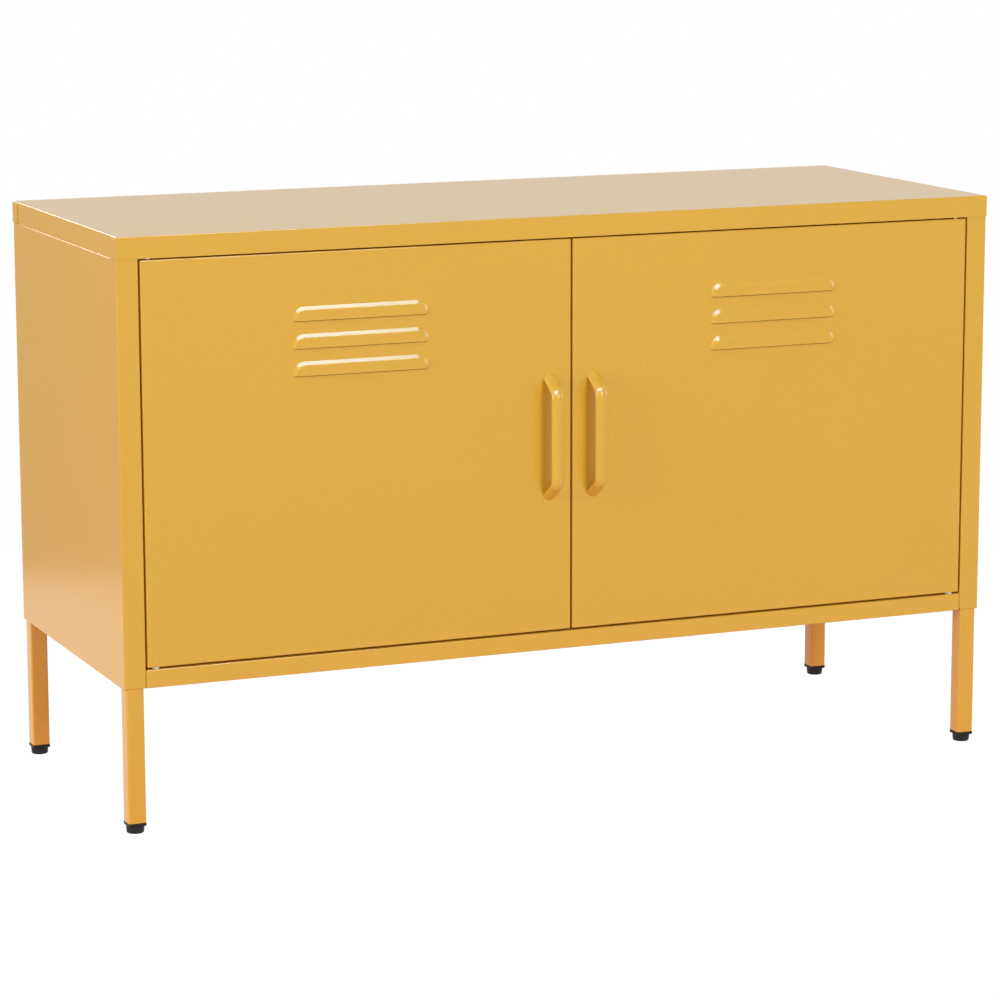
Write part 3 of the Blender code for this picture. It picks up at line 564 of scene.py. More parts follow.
def make_cap():
    """The top panel: a tray turned over, with short tabs lapped over its side flanges."""
    inset = Vector((TAB_PROUD, 0, 0))
    cap = tray("cap_sheet", CAP_LOW + inset, CAP_HIGH - inset, "-z", 0.0, CAP_RADIUS)
    lip_x = OPENING_X - FIT
    lip = box(
        "cap_lip",
        (-lip_x, FRONT_Y + SHEET / 2, OPENING_TOP),
        (lip_x, FRONT_Y + TOP_LIP, OPENING_TOP + SHEET),
    )
    combine(cap, lip, "UNION")
    for side, sign in SIDES:
        for place, end_y, into in (("front", CAP_LOW.y, 1), ("rear", CAP_HIGH.y, -1)):
            at = node_centre(f"top_screw_{place}_{side}")
            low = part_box(f"top_screw_{place}_{side}")[0].z + TOP_SCREW_SHANK
            nut = rod("nut", (at.x, at.y, low), (at.x, at.y, HEIGHT - SHEET / 2), NUT, 6)
            combine(cap, nut, "UNION")
            bore(cap, at, "Z", low - FIT, HEIGHT - SHEET - FIT, TOP_SCREW_HOLE)
            lap_corner(cap, sign * CAP_HIGH.x, sign, end_y, into)
        bore(cap, HINGE[side], "Z", OPENING_TOP - SHEET, OPENING_TOP + 2 * SHEET, PIN_HOLE)
    return finish(cap, "carcass", PAINT, "top_panel")


def post_corner_cutter(sign):
    """What is cut away to round the lower inner corner of the front post."""
    steps = 12
    start_x, start_z = OPENING_X - FIT, CARCASS_BOTTOM - FIT
    outline = [(start_x, start_z), (OPENING_X + POST_CORNER, start_z)]
    for step in range(steps + 1):
        angle = math.pi / 2 * step / steps
        x = OPENING_X + POST_CORNER * (1 - math.sin(angle))
        z = CARCASS_BOTTOM + POST_CORNER * (1 - math.cos(angle))
        outline.append((x, z))
    outline.append((start_x, CARCASS_BOTTOM + POST_CORNER))
    depths = (FACE_Y - FIT, FACE_Y + 2 * SHEET)
    return loft("post_corner", [[(sign * x, y, z) for x, z in outline] for y in depths])


def shoulder_cutter(sign):
    """What rounds the top edge of the side's outer skin between the cap's corner tabs."""
    steps = 8
    brow = OPENING_TOP - FIT
    outline = [(SKIN_X + FIT, brow - SHOULDER)]
    for step in range(steps + 1):
        angle = math.pi / 2 * step / steps
        x = SKIN_X - SHOULDER * (1 - math.cos(angle))
        outline.append((x, brow - SHOULDER * (1 - math.sin(angle))))
    outline.append((SKIN_X - SHOULDER, brow + SHEET))
    outline.append((SKIN_X + FIT, brow + SHEET))
    ends = (CAP_LOW.y + TAB_LENGTH, CAP_HIGH.y - TAB_LENGTH)
    return loft("shoulder_round", [[(sign * x, y, z) for x, z in outline] for y in ends])


def post_path(outer, sign):
    """Plan path of a side: its two posts with their returns, and the wall at outer."""
    path = [
        (OPENING_X, FACE_Y + POST_RETURN),
        (OPENING_X, FACE_Y),
        (outer, FACE_Y),
        (outer, REAR_POST_Y),
        (OPENING_X, REAR_POST_Y),
        (OPENING_X, REAR_POST_Y - POST_RETURN),
    ]
    path = [(sign * x, y) for x, y in path]
    return path if sign > 0 else path[::-1]


def foot_chamfer_cutter(sign):
    """What turns the lower edge of the front post slightly inwards."""
    front, back = FACE_Y - FIT, FACE_Y + SKIN
    low, high = CARCASS_BOTTOM, CARCASS_BOTTOM + FOOT_CHAMFER
    outline = [(front, low - FIT), (back, low - FIT), (back, low), (FACE_Y, high), (front, high)]
    ends = (sign * (OPENING_X - FIT), sign * (SKIN_X + FIT))
    return loft("foot_chamfer", [[(x, y, z) for y, z in outline] for x in ends])


def make_side(side, sign):
    """Side sheet with a front and a rear post folded into it, a top tab and a floor ledge."""
    skin_top = OPENING_TOP - FIT
    panel = folded_strip(
        f"side_sheet_{side}", post_path(SKIN_X, sign), CARCASS_BOTTOM, skin_top, SKIN
    )
    neck = folded_strip("neck", post_path(SIDE_X, sign), OPENING_TOP - NECK, SIDE_HIGH.z)
    combine(panel, neck, "UNION")
    wall_x = sign * (SIDE_X - SHEET / 2)
    tab_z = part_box(f"top_screw_front_{side}")[0].z + TOP_SCREW_HEAD + FIT
    tab_ys = (FACE_Y + POST_RETURN + TOP_TAB_CLEAR, REAR_POST_Y - POST_RETURN - TOP_TAB_CLEAR)
    tab_x = sign * (OPENING_X + TOP_TAB_INSET)
    tab = box("top_tab", (tab_x, tab_ys[0], tab_z), (wall_x, tab_ys[1], tab_z + SHEET))
    combine(panel, tab, "UNION")
    ledge = box(
        "ledge",
        (sign * (OPENING_X + FIT), FACE_Y + POST_RETURN + FIT, FLOOR_TOP - SHEET),
        (wall_x, REAR_POST_Y - POST_RETURN - FIT, FLOOR_TOP),
    )
    combine(panel, ledge, "UNION")
    for cutter in (post_corner_cutter, shoulder_cutter, foot_chamfer_cutter):
        combine(panel, cutter(sign), "DIFFERENCE")
    post_xs = (sign * (OPENING_X - SHEET), sign * (OPENING_X + 2 * SHEET))
    for place in ("front", "rear"):
        at = node_centre(f"top_screw_{place}_{side}")
        bore(panel, at, "Z", tab_z - SHEET, tab_z + 2 * SHEET, TOP_SCREW_HOLE)
        bore(panel, node_centre(f"leg_screw_{place}_{side}"), "X", *post_xs, LEG_SCREW_HOLE)
    for level in ("middle", "top"):
        bore_rear(panel, side, level)
    return finish(panel, "carcass", PAINT, f"side_panel_{side}")


def bore_rear(panel, side, level):
    """The hole for a back screw in a flange that stands at the rear posts."""
    at = node_centre(f"back_screw_{side}_{level}")
    bore(panel, at, "Y", REAR_POST_Y - 2 * SHEET, REAR_POST_Y + SHEET, BACK_SCREW_HOLE)


SLIT_START = 0.42
SLIT_RUN = 1.6
SLIT_HALF = 0.3 * MM


def mitre_slits(piece, low, high, open_side, lip):
    """Cuts the narrow slit that folding leaves at each corner of a tray's lip."""
    axis = "xyz".index(open_side[1])
    flat = [k for k in range(3) if k != axis]
    normal = Vector([1.0 if k == axis else 0.0 for k in range(3)])
    corner = Vector((0, 0, 0))
    corner[axis] = (high if open_side[0] == "+" else low)[axis]
    for ends in ((0, 0), (0, 1), (1, 0), (1, 1)):
        inward = Vector((0, 0, 0))
        for k, end in zip(flat, ends):
            corner[k] = high[k] if end else low[k]
            inward[k] = -1.0 if end else 1.0
        along = inward.normalized()
        start = corner + along * SLIT_START * lip
        end = start + along * SLIT_RUN * lip
        across = along.cross(normal) * SLIT_HALF
        ring = [start - across, end - across, end + across, start + across]
        depths = (normal * -2 * MM, normal * 2 * MM)
        slit = loft("slit", [[point + lift for point in ring] for lift in depths])
        combine(piece, slit, "DIFFERENCE")


def make_floor():
    """Tray turned over between the posts: its front flange is the rail under the doors."""
    panel = tray("floor_sheet", FLOOR_LOW, FLOOR_HIGH, "-z", FLOOR_LIP, RAIL_RADIUS)
    mitre_slits(panel, FLOOR_LOW, FLOOR_HIGH, "-z", FLOOR_LIP)
    for side, sign in SIDES:
        flange_xs = (sign * (OPENING_X - 3 * SHEET), sign * (OPENING_X + SHEET))
        for place in ("front", "rear"):
            bore(panel, node_centre(f"leg_screw_{place}_{side}"), "X", *flange_xs, LEG_SCREW_HOLE)
        bore(panel, HINGE[side], "Z", FLOOR_TOP - 2 * SHEET, FLOOR_TOP + SHEET, PIN_HOLE)
        bore_rear(panel, side, "bottom")
    return finish(panel, "carcass", PAINT, "floor_panel")


def make_back():
    """Flat sheet over the rear posts with rounded corners, tucked up inside the cap."""
    bm = bmesh.new()
    add_box(bm, BACK_LOW, BACK_HIGH)
    corners = [e for e in bm.edges if abs(e.verts[0].co.y - e.verts[1].co.y) > SHEET / 8]
    bmesh.ops.bevel(bm, geom=corners, offset=BACK_CORNER, segments=6, profile=0.5, affect="EDGES")
    panel = add_object("back_sheet", bm)
    for side, _ in SIDES:
        for level in ("middle", "top", "bottom"):
            at = node_centre(f"back_screw_{side}_{level}")
            bore(panel, at, "Y", BACK_LOW.y - SHEET, BACK_HIGH.y + SHEET, BACK_SCREW_HOLE)
    return finish(panel, "carcass", PAINT, "back_panel")


# ---------------------------------------------------------------- legs and feet


LEG_WALL = 1.2 * MM
LEG_CORNER = 2.2 * MM
FLANGE_EXTRA = 0.6 * MM
GLIDE_EXTRA = 0.4 * MM
GLIDE_ROLL = 1.5 * MM
GLIDE_TAPER = 0.5 * MM
THREAD_CREST = 3.0 * MM
THREAD_ROOT = 2.6 * MM
THREAD_PITCH = 1.0 * MM


def rounded_square(cx, cy, half, radius, steps=5):
    """Plan outline of a square with rounded corners."""
    points = []
    for quarter in range(4):
        base = math.pi / 2 * quarter
        x = cx + (half - radius) * (1 if quarter in (0, 3) else -1)
        y = cy + (half - radius) * (1 if quarter in (0, 1) else -1)
        for step in range(steps + 1):
            angle = base + math.pi / 2 * step / steps
            points.append((x + radius * math.cos(angle), y + radius * math.sin(angle)))
    return points


def make_leg(place, side, sign):
    """Square steel tube with rounded corners and a hole for the screw in its inner wall."""
    low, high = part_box(f"leg_{place}_{side}")
    centre = (low + high) / 2
    half = (high.x - low.x) / 2
    outer = rounded_square(centre.x, centre.y, half, LEG_CORNER)
    inner = rounded_square(centre.x, centre.y, half - LEG_WALL, LEG_CORNER - LEG_WALL)
    bm = bmesh.new()
    loops = []
    for outline, z in ((outer, low.z), (outer, high.z), (inner, high.z), (inner, low.z)):
        loops.append([bm.verts.new((x, y, z)) for x, y in outline])
    count = len(outer)
    for a, b in zip(loops, loops[1:] + loops[:1]):
        for i in range(count):
            j = (i + 1) % count
            bm.faces.new((a[i], a[j], b[j], b[i]))
    leg = add_object(f"leg_tube_{place}_{side}", bm)
    at = node_centre(f"leg_screw_{place}_{side}")
    wall = centre.x - sign * half
    bore(leg, at, "X", wall - sign * SHEET, wall + sign * 2 * LEG_WALL, LEG_SCREW_HOLE)
    return finish(leg, "carcass", PAINT, f"leg_{place}_{side}")


def make_insert(place, side):
    """Black plug: a square flange with softened edges under the leg, and a stem inside it."""
    low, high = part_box(f"foot_insert_{place}_{side}")
    low = low - Vector((0, 0, FLANGE_EXTRA))
    centre = (low + high) / 2
    half = (high.x - low.x) / 2 + FIT
    flange_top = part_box(f"leg_{place}_{side}")[0].z - FIT
    soft = 0.35 * MM
    rings = []
    for inset, z in (
        (soft, low.z),
        (0.3 * soft, low.z + 0.3 * soft),
        (0, low.z + soft),
        (0, flange_top - soft),
        (0.3 * soft, flange_top - 0.3 * soft),
        (soft, flange_top),
    ):
        outline = rounded_square(centre.x, centre.y, half - inset, LEG_CORNER - inset)
        rings.append([(x, y, z) for x, y in outline])
    plug = loft(f"insert_plug_{place}_{side}", rings)
    neck = rounded_square(centre.x, centre.y, half - LEG_WALL - 2 * FIT, 1 * MM)
    combine(plug, prism("stem", neck, flange_top - soft, high.z), "UNION")
    bore(plug, centre, "Z", low.z - FIT, high.z + FIT, THREAD_HOLE)
    return finish(plug, "carcass", PLASTIC, f"foot_insert_{place}_{side}")


def make_glide(place, side):
    """Round levelling foot: a tapered black pad with a rolled edge on a threaded stem."""
    node = f"levelling_foot_{place}_{side}"
    low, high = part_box(node)
    centre = (low + high) / 2
    radius = (high.x - low.x) / 2 + GLIDE_EXTRA
    pad_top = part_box(f"foot_insert_{place}_{side}")[0].z - FLANGE_EXTRA - FIT
    roll = GLIDE_ROLL
    profile = [(radius - 2.3 * roll, 0.25 * MM), (radius - 2.2 * roll, 0)]
    for step in range(7):
        angle = math.pi / 2 * step / 6
        r = radius - GLIDE_TAPER - roll + roll * math.sin(angle)
        profile.append((r, roll * (1 - math.cos(angle))))
    profile += [
        (radius, pad_top - 1.0 * MM),
        (radius - 0.15 * MM, pad_top - 0.35 * MM),
        (radius - 0.6 * MM, pad_top),
        (4.2 * MM, pad_top),
        (THREAD_CREST, pad_top + 0.1 * MM),
    ]
    z = pad_top + 0.1 * MM
    while z < high.z - 1.6 * MM:
        profile += [(THREAD_CREST, z + 0.35 * MM), (THREAD_ROOT, z + 0.7 * MM)]
        z += THREAD_PITCH
        profile += [(THREAD_CREST, z)]
    profile += [(2.4 * MM, high.z)]
    foot = turned(f"glide_{place}_{side}", (centre.x, centre.y, 0), (0, 0, 1), profile)
    return finish(foot, node, PLASTIC, node)


# ---------------------------------------------------------------- doors


DOOR_EASE = 0.2 * MM
HOOD_WIDTH = 158.5 * MM
HOOD_HEIGHT = 16 * MM
HOOD_CORNER = 14 * MM
HOOD_FOOT_CORNER = 1.5 * MM
HOOD_PITCH = 30 * MM
HOOD_BELOW_TOP = 74 * MM
HOOD_COUNT = 3
SLOT_DROP = 0.8 * MM
# How a hood rises from the sheet: (inset from its outline, height off the face), in mm
HOOD_RISE = (
    (0.0, -0.3),
    (0.35, -0.05),
    (0.6, 0.15),
    (0.9, 0.4),
    (3.8, 2.4),
    (4.15, 2.6),
    (4.6, 2.75),
    (5.2, 2.8),
)


def hood_outline(width, height, radius, steps=12):
    """Front view of a hood as (x, z): a straight foot and two well rounded upper corners."""
    foot = HOOD_FOOT_CORNER
    points = [
        (-width / 2, foot),
        (-width / 2 + 0.3 * foot, 0.3 * foot),
        (-width / 2 + foot, 0),
        (width / 2 - foot, 0),
        (width / 2 - 0.3 * foot, 0.3 * foot),
        (width / 2, foot),
    ]
    for quarter, corner_x in ((0, width / 2 - radius), (1, -(width / 2 - radius))):
        for step in range(steps + 1):
            angle = math.pi / 2 * (quarter + step / steps)
            z = height - radius + radius * math.sin(angle)
            points.append((corner_x + radius * math.cos(angle), z))
    return points


def hood(name, centre_x, low_z, shrink, drop, back_y):
    """A hood as a solid: its bevelled top and ends rise to a flat front over an open foot."""
    rings = []
    rise = [(inset * MM + shrink, out * MM - shrink) for inset, out in HOOD_RISE]
    rise = [(rise[0][0], FACE_Y - back_y)] + [r for r in rise if r[1] > FACE_Y - back_y]
    for inset, out in rise:
        outline = hood_outline(
            HOOD_WIDTH - 2 * inset, HOOD_HEIGHT - inset, max(HOOD_CORNER - inset, 1 * MM)
        )
        ring = []
        for x, z in outline:
            z = low_z + z if z > 0 else low_z - drop
            ring.append((centre_x + x, FACE_Y - out, z))
        rings.append(ring)
    return loft(name, rings)


def make_door(side):
    """Folded pan with three pressed hoods, pin holes and handle holes."""
    low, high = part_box(f"door_{side}")
    low = Vector((low.x + DOOR_EASE, FACE_Y, low.z))
    high = high - Vector((DOOR_EASE, 0, 0))
    door = tray(f"door_sheet_{side}", low, high, "+y", DOOR_LIP)
    mitre_slits(door, low, high, "+y", DOOR_LIP)
    centre_x = (low.x + high.x) / 2
    for i in range(HOOD_COUNT):
        z = high.z - HOOD_BELOW_TOP - HOOD_PITCH * i
        solid = hood(f"hood_{i}", centre_x, z, 0, 0, FACE_Y + SHEET / 2)
        combine(door, solid, "UNION")
        hollow = hood(f"hollow_{i}", centre_x, z, SHEET, SLOT_DROP, FACE_Y + 2 * SHEET)
        combine(door, hollow, "DIFFERENCE")
    for z in (high.z, low.z):
        bore(door, HINGE[side], "Z", z - 2 * SHEET, z + 2 * SHEET, PIN_HOLE)
    for end in ("top", "bottom"):
        at = node_centre(f"handle_screw_{side}_{end}")
        bore(door, at, "Y", FACE_Y - SHEET, FACE_Y + 2 * SHEET, HANDLE_SCREW_HOLE)
    return finish(door, f"door_{side}", PAINT, f"door_{side}")


def make_stiffener(side):
    """Top-hat section that stiffens the door from inside."""
    low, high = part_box(f"door_stiffener_{side}")
    x = (low.x + high.x) / 2
    half = (high.x - low.x) / 2
    crest = 12 * MM
    path = [
        (x - half, low.y),
        (x - crest, low.y),
        (x - crest, high.y - SHEET),
        (x + crest, high.y - SHEET),
        (x + crest, low.y),
        (x + half, low.y),
    ]
    piece = folded_strip(f"stiffener_{side}", path, low.z, high.z)
    return finish(piece, f"door_{side}", PAINT, f"door_stiffener_{side}")


HANDLE_STRAIGHT = 104 * MM
HANDLE_THICK = 5.5 * MM
HANDLE_SLIMMER = 0.2 * MM
HANDLE_BEND = 12 * MM
HANDLE_STEPS = 12
HANDLE_CROWN = 9.6 * MM
HANDLE_FLARE = 0.09
HANDLE_BORE = 5 * MM


def handle_section(half_width, half_thick):
    """Closed outline (across, out): a flat back, short edges and a crowned front."""
    soft = 0.45 * MM
    shoulder = -0.3 * half_thick
    points = [(-half_width + soft, -half_thick), (half_width - soft, -half_thick)]
    points += [(half_width - 0.13 * soft, -half_thick + 0.5 * soft), (half_width, -half_thick + soft)]
    points += [(half_width, shoulder - soft * 0.6)]
    drop = half_thick - (HANDLE_CROWN - math.sqrt(HANDLE_CROWN**2 - half_width**2))
    shift = shoulder - drop
    steps = 14
    for step in range(steps + 1):
        a = math.cos(math.pi * (0.04 + 0.92 * step / steps)) * half_width
        rise = math.sqrt(HANDLE_CROWN**2 - a * a) - HANDLE_CROWN
        share = 1 - (a / half_width) ** 2
        points.append((a, half_thick + rise + shift * (1 - share)))
    points += [(-half_width, shoulder - soft * 0.6), (-half_width, -half_thick + soft)]
    points += [(-half_width + 0.13 * soft, -half_thick + 0.5 * soft)]
    return points


def make_handle(side):
    """Bow handle of crowned section, its two feet a little wider where they stand on the door."""
    low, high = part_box(f"handle_{side}")
    centre = (low + high) / 2
    half_width = (high.x - low.x) / 2 - HANDLE_SLIMMER
    half_thick = HANDLE_THICK / 2
    half = (high.z - low.z) / 2 - half_thick
    out = FACE_Y - low.y - half_thick
    straight = HANDLE_STRAIGHT / 2
    corners = [(FIT, -half), (out, -straight), (out, straight), (FIT, half)]
    bow = filleted(corners, [HANDLE_BEND] * 2, HANDLE_STEPS)
    bend = HANDLE_STEPS + 1
    first = [bow[0].lerp(bow[1], k / 5) for k in range(5)]
    last = [bow[-2].lerp(bow[-1], (k + 1) / 5) for k in range(5)]
    middle = [bow[bend].lerp(bow[bend + 1], k / 6) for k in range(1, 6)]
    path = first + bow[1 : bend + 1] + middle + bow[bend + 1 : -1] + last
    rings = []
    for i, point in enumerate(path):
        before, after = path[max(i - 1, 0)], path[min(i + 1, len(path) - 1)]
        run = (after - before).normalized()
        outward = Vector((run.y, -run.x))
        stretch = 1.0
        if i in (0, len(path) - 1):
            outward = Vector((0, math.copysign(1, point.y)))
            stretch = 1 / abs(run.x)
        near = max(0.0, 1 - point.x / out)
        flare = 1 + HANDLE_FLARE * near**1.5
        ring = []
        for across, thick in handle_section(half_width, half_thick):
            place = point + outward * thick * stretch
            ring.append((centre.x + across * flare, FACE_Y - place.x, centre.z + place.y))
        rings.append(ring)
    handle = loft(f"handle_bow_{side}", rings)
    for end in ("top", "bottom"):
        at = node_centre(f"handle_screw_{side}_{end}")
        bore(handle, at, "Y", FACE_Y + FIT, FACE_Y - HANDLE_BORE, HANDLE_SCREW_HOLE)
    return finish(handle, f"door_{side}", PAINT, f"handle_{side}")


def make_pin(node, body):
    """Headed pin with chamfered ends where the CAD pin stands."""
    low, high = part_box(node)
    centre = (low + high) / 2
    length = high.z - low.z
    head, radius, tall, edge = (high.x - low.x) / 2, 2 * MM, 1.5 * MM, 0.3 * MM
    profile = (
        (head - edge, 0),
        (head - 0.3 * edge, 0.3 * edge),
        (head, edge),
        (head, tall - edge / 2),
        (head - edge / 2, tall),
        (radius, tall),
        (radius, length - 2 * edge),
        (radius - 0.6 * edge, length - 0.7 * edge),
        (radius - 2 * edge, length),
    )
    pin = turned(f"{node}_turned", (centre.x, centre.y, low.z), (0, 0, 1), profile)
    return finish(pin, body, ZINC, node)


def make_washer(side):
    """White nylon bush ring under the door's lower pin hole."""
    node = f"hinge_washer_{side}"
    low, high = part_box(node)
    centre = (low + high) / 2
    radius = (high.x - low.x) / 2
    tall = high.z - low.z
    edge = 0.35 * MM
    profile = (
        (radius - edge, 0),
        (radius - 0.3 * edge, 0.3 * edge),
        (radius, edge),
        (radius, tall - edge),
        (radius - 0.3 * edge, tall - 0.3 * edge),
        (radius - edge, tall),
    )
    ring = turned(f"nylon_ring_{side}", (centre.x, centre.y, low.z), (0, 0, 1), profile)
    bore(ring, centre, "Z", low.z - FIT, high.z + FIT, WASHER_HOLE)
    return finish(ring, "carcass", NYLON, node)


# ---------------------------------------------------------------- inside


def make_shelf():
    """Loose shelf with folded edges, notched round the four posts."""
    shelf = tray("shelf_sheet", SHELF_LOW, SHELF_HIGH, "-z", FLOOR_LIP)
    notch_x = OPENING_X - 2.5 * MM
    reach = POST_RETURN + 1.5 * MM
    for _, sign in SIDES:
        for ys in ((FRONT_Y, FACE_Y + reach), (REAR_POST_Y - reach, CAP_HIGH.y)):
            notch = box(
                "notch",
                (sign * notch_x, ys[0], SHELF_LOW.z - FLOOR_LIP),
                (sign * CAP_HIGH.x, ys[1], SHELF_HIGH.z + FLOOR_LIP),
            )
            combine(shelf, notch, "DIFFERENCE")
    return finish(shelf, "shelf", PAINT, "shelf")


def make_clip(place, side, sign):
    """Bent zinc angle on the post's inner face, under the shelf."""
    node = f"shelf_clip_{place}_{side}"
    low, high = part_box(node)
    sheet = 1.5 * MM
    wall = high.x if sign > 0 else low.x
    tip = low.x if sign > 0 else high.x
    path = [(wall, low.z), (wall, high.z), (tip, high.z)]
    if sign < 0:
        path.reverse()
    piece = folded_strip(f"clip_angle_{place}_{side}", path, 0.0, high.y - low.y, sheet, 2.5 * MM)
    turn = Matrix(((1, 0, 0, 0), (0, 0, -1, high.y), (0, 1, 0, 0), (0, 0, 0, 1)))
    piece.data.transform(turn)
    return finish(piece, "carcass", ZINC, node)


def make_catch():
    """Painted hanging bracket and two magnet blocks with steel pole plates."""
    low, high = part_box("catch_bracket")
    sheet = 1.2 * MM
    path = [(high.y, high.z), (low.y, high.z), (low.y, low.z)]
    piece = folded_strip("catch_angle", path, 0.0, high.x - low.x, sheet, 2.2 * MM)
    turn = Matrix(((0, 0, 1, low.x), (1, 0, 0, 0), (0, 1, 0, 0), (0, 0, 0, 1)))
    piece.data.transform(turn)
    finish(piece, "carcass", PAINT, "catch_bracket")
    for side, _ in SIDES:
        low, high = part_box(f"magnet_{side}")
        block = box(f"magnet_case_{side}", low, high, 0.8 * MM)
        finish(block, "carcass", MAGNET, f"magnet_{side}")
        for end, share in (("low", 0.27), ("high", 0.73)):
            z = low.z + (high.z - low.z) * share
            plate = box(
                f"pole_plate_{side}_{end}",
                (low.x + 4 * MM, low.y - 0.25 * MM, z - 0.8 * MM),
                (high.x - 4 * MM, low.y + 1 * MM, z + 0.8 * MM),
                0.2 * MM,
            )
            finish(plate, "carcass", ZINC)


# ---------------------------------------------------------------- stage


WORLD_SEEN = 1.0
# How bright the surroundings are as fill and as mirrored in the gloss, below and above
FILL_BELOW = 0.55
FILL_ABOVE = 0.40
GLOSS_FRONT_GROUND = 1.0
GLOSS_BACK_GROUND = 0.45
GLOSS_ABOVE = 0.86
# The floor that is seen, and the disc that stands for the light it sends up
FLOOR_RADIUS = 1.42
FLOOR_GLOW = 1.0
BOUNCE_RADIUS = 3.6
BOUNCE_WARM = (0.74, 0.27, 0.05)
BOUNCE_NEAR = 0.28
BOUNCE_FAR = 0.65
BOUNCE_SQUEEZE = (0.45, 1.0, 1.0)
DISC_SEGMENTS = 96
# Tints of the left softbox and of the overhead card
ROSE = (1.05, 0.955, 1.08)
COOL = (0.28, 0.62, 0.97)


def softbox(name, place, target, width, height, radiance, mirrored_only=False, tint=(1, 1, 1)):
    """A rectangular lamp that shines from place towards target and isn't seen itself."""
    lamp = bpy.data.lights.new(name, "AREA")
    lamp.shape = "RECTANGLE"
    lamp.size = width
    lamp.size_y = height
    lamp.energy = radiance * math.pi * width * height
    lamp.color = tint
    holder = bpy.data.objects.new(name, lamp)
    bpy.context.scene.collection.objects.link(holder)
    holder.location = place
    aim = Vector(target) - Vector(place)
    holder.rotation_mode = "QUATERNION"
    holder.rotation_quaternion = aim.to_track_quat("-Z", "Y")
    holder.visible_camera = False
    holder.visible_diffuse = not mirrored_only


def graded(nodes, links, source, low, high, below, above):
    """A strength that runs from below to above while source runs from low to high."""
    grade = nodes.new("ShaderNodeMapRange")
    grade.interpolation_type = "SMOOTHSTEP"
    for name, value in (("From Min", low), ("From Max", high)):
        grade.inputs[name].default_value = value
    for name, value in (("To Min", below), ("To Max", above)):
        if isinstance(value, float):
            grade.inputs[name].default_value = value
        else:
            links.new(value, grade.inputs[name])
    links.new(source, grade.inputs["Value"])
    return grade.outputs["Result"]


def make_world():
    """White where it is seen; as fill and in the gloss it is graded from floor to sky."""
    world = bpy.data.worlds.new("white_studio")
    world.use_nodes = True
    bpy.context.scene.world = world
    nodes, links = world.node_tree.nodes, world.node_tree.links
    nodes.clear()
    output = nodes.new("ShaderNodeOutputWorld")
    rays = nodes.new("ShaderNodeLightPath")
    place = nodes.new("ShaderNodeTexCoord")
    split = nodes.new("ShaderNodeSeparateXYZ")
    links.new(place.outputs["Generated"], split.inputs["Vector"])
    up, back = split.outputs["Z"], split.outputs["Y"]
    fill = graded(nodes, links, up, -0.15, 0.15, FILL_BELOW, FILL_ABOVE)
    ground = graded(nodes, links, back, -0.3, 0.5, GLOSS_FRONT_GROUND, GLOSS_BACK_GROUND)
    gloss = graded(nodes, links, up, -0.12, 0.10, ground, GLOSS_ABOVE)
    seen = nodes.new("ShaderNodeBackground")
    seen.inputs["Color"].default_value = (1, 1, 1, 1)
    seen.inputs["Strength"].default_value = WORLD_SEEN
    last = seen.outputs["Background"]
    for ray, strength in (("Is Diffuse Ray", fill), ("Is Glossy Ray", gloss)):
        shade = nodes.new("ShaderNodeBackground")
        shade.inputs["Color"].default_value = (1, 1, 1, 1)
        links.new(strength, shade.inputs["Strength"])
        mixer = nodes.new("ShaderNodeMixShader")
        links.new(rays.outputs[ray], mixer.inputs["Fac"])
        links.new(last, mixer.inputs[1])
        links.new(shade.outputs["Background"], mixer.inputs[2])
        last = mixer.outputs["Shader"]
    links.new(last, output.inputs["Surface"])


def make_floor_stage():
    """A wide round pale floor whose rim is lost in the white surroundings."""
    bm = bmesh.new()
    bmesh.ops.create_circle(bm, cap_ends=True, segments=DISC_SEGMENTS, radius=FLOOR_RADIUS)
    floor = add_object("studio_floor", bm)
    material, shader = new_material("studio_floor_white", (0.06, 0.06, 0.06), 0.9)
    links = material.node_tree.links
    grain = ranged(material, noise(material, 3.0), 0.0, 1.0)
    tone = blended(material, grain, (0.062, 0.062, 0.062), (0.058, 0.058, 0.058))
    links.new(tone, shader.inputs["Base Color"])
    shader.inputs["Specular IOR Level"].default_value = 0.0
    shader.inputs["Emission Color"].default_value = (1, 1, 1, 1)
    shader.inputs["Emission Strength"].default_value = FLOOR_GLOW
    floor.data.materials.append(material)
    floor.visible_diffuse = False


def make_floor_bounce():
    """The light that the floor sends up, warmed by the paint near and under the cabinet."""
    bm = bmesh.new()
    bmesh.ops.create_circle(bm, cap_ends=True, segments=DISC_SEGMENTS, radius=BOUNCE_RADIUS)
    bounce = add_object("floor_bounce", bm)
    material, shader = new_material("floor_bounce_glow", (0.0, 0.0, 0.0), 1.0)
    nodes, links = material.node_tree.nodes, material.node_tree.links
    place = nodes.new("ShaderNodeTexCoord")
    squeeze = nodes.new("ShaderNodeVectorMath")
    squeeze.operation = "MULTIPLY"
    squeeze.inputs[1].default_value = BOUNCE_SQUEEZE
    links.new(place.outputs["Object"], squeeze.inputs[0])
    reach = nodes.new("ShaderNodeVectorMath")
    reach.operation = "LENGTH"
    links.new(squeeze.outputs["Vector"], reach.inputs[0])
    share = graded(nodes, links, reach.outputs["Value"], BOUNCE_NEAR, BOUNCE_FAR, 0.0, 1.0)
    tone = blended(material, share, BOUNCE_WARM, (FILL_BELOW, FILL_BELOW, FILL_BELOW))
    links.new(tone, shader.inputs["Emission Color"])
    shader.inputs["Specular IOR Level"].default_value = 0.0
    shader.inputs["Emission Strength"].default_value = 1.0
    bounce.data.materials.append(material)
    bounce.visible_camera = False
    bounce.visible_glossy = False
    bounce.visible_transmission = False
    bounce.visible_shadow = False


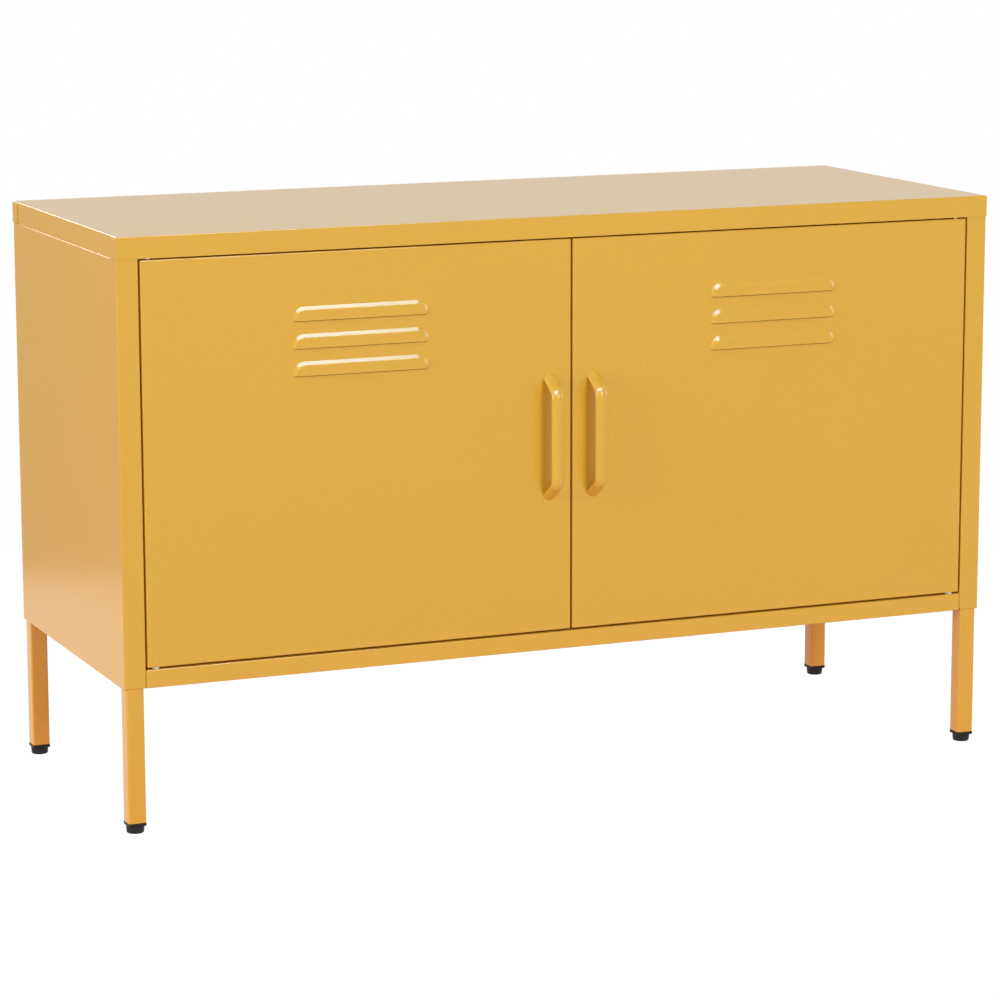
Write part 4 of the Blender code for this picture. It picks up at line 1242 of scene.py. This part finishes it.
def make_lights():
    """A frontal key, fills from both sides, and two bright cards that show only in the gloss."""
    softbox("key_softbox", (0.6, -4.45, 2.1), (0, -0.2, 0.35), 1.1, 1.3, 19.0)
    softbox("left_softbox", (-3.9, -1.0, 1.3), (-0.5, 0.0, 0.35), 2.0, 1.8, 6.4, tint=ROSE)
    softbox("right_softbox", (3.9, -0.6, 1.3), (0.5, 0.0, 0.35), 2.0, 1.8, 2.5)
    softbox("overhead_card", (-0.45, -1.2, 2.0), (-0.45, -0.9, 0.0), 1.96, 1.0, 17.5, True, COOL)
    softbox("rim_card", (-0.9, 2.9, 1.72), (-0.5, 0.0, 0.6), 1.8, 0.5, 8.0, True)


CAMERA_PLACE = (-1.6679, -3.93305, 1.0988)
CAMERA_HEADING = math.radians(22.876)
CAMERA_DIP = math.radians(10.611)
CAMERA_ROLL = math.radians(-0.107)
CAMERA_LENS = 134.19


def make_camera():
    """A long lens that looks down a little at the left front corner of the cabinet."""
    lens = bpy.data.cameras.new("camera")
    lens.sensor_width = 36.0
    lens.lens = CAMERA_LENS
    camera = bpy.data.objects.new("camera", lens)
    bpy.context.scene.collection.objects.link(camera)
    heading, dip = CAMERA_HEADING, CAMERA_DIP
    forward = Vector(
        (math.sin(heading) * math.cos(dip), math.cos(heading) * math.cos(dip), -math.sin(dip))
    )
    level = Vector((math.cos(heading), -math.sin(heading), 0))
    up = level.cross(forward)
    right = level * math.cos(CAMERA_ROLL) + up * math.sin(CAMERA_ROLL)
    up = right.cross(forward)
    turn = Matrix((right, up, -forward)).transposed().to_4x4()
    camera.matrix_world = Matrix.Translation(CAMERA_PLACE) @ turn
    bpy.context.scene.camera = camera


# ---------------------------------------------------------------- assembly


def make_all():
    """Every piece of the cabinet."""
    make_cap()
    make_floor()
    make_back()
    make_shelf()
    make_catch()
    for side, sign in SIDES:
        make_side(side, sign)
        make_door(side)
        make_stiffener(side)
        make_handle(side)
        make_washer(side)
        make_pin(f"hinge_pin_top_{side}", "carcass")
        make_pin(f"hinge_pin_bottom_{side}", "carcass")
        for place in ("front", "rear"):
            make_leg(place, side, sign)
            make_insert(place, side)
            make_glide(place, side)
            make_clip(place, side, sign)
            screw(f"leg_screw_{place}_{side}", "leg", "carcass", sign)
            screw(f"top_screw_{place}_{side}", "top", "carcass")
        for level in ("middle", "top", "bottom"):
            screw(f"back_screw_{side}_{level}", "back", "carcass")
        for end in ("top", "bottom"):
            screw(f"handle_screw_{side}_{end}", "handle", f"door_{side}")


make_all()
make_world()
make_floor_stage()
make_floor_bounce()
make_lights()
make_camera()
bpy.context.scene.view_settings.view_transform = "Standard"
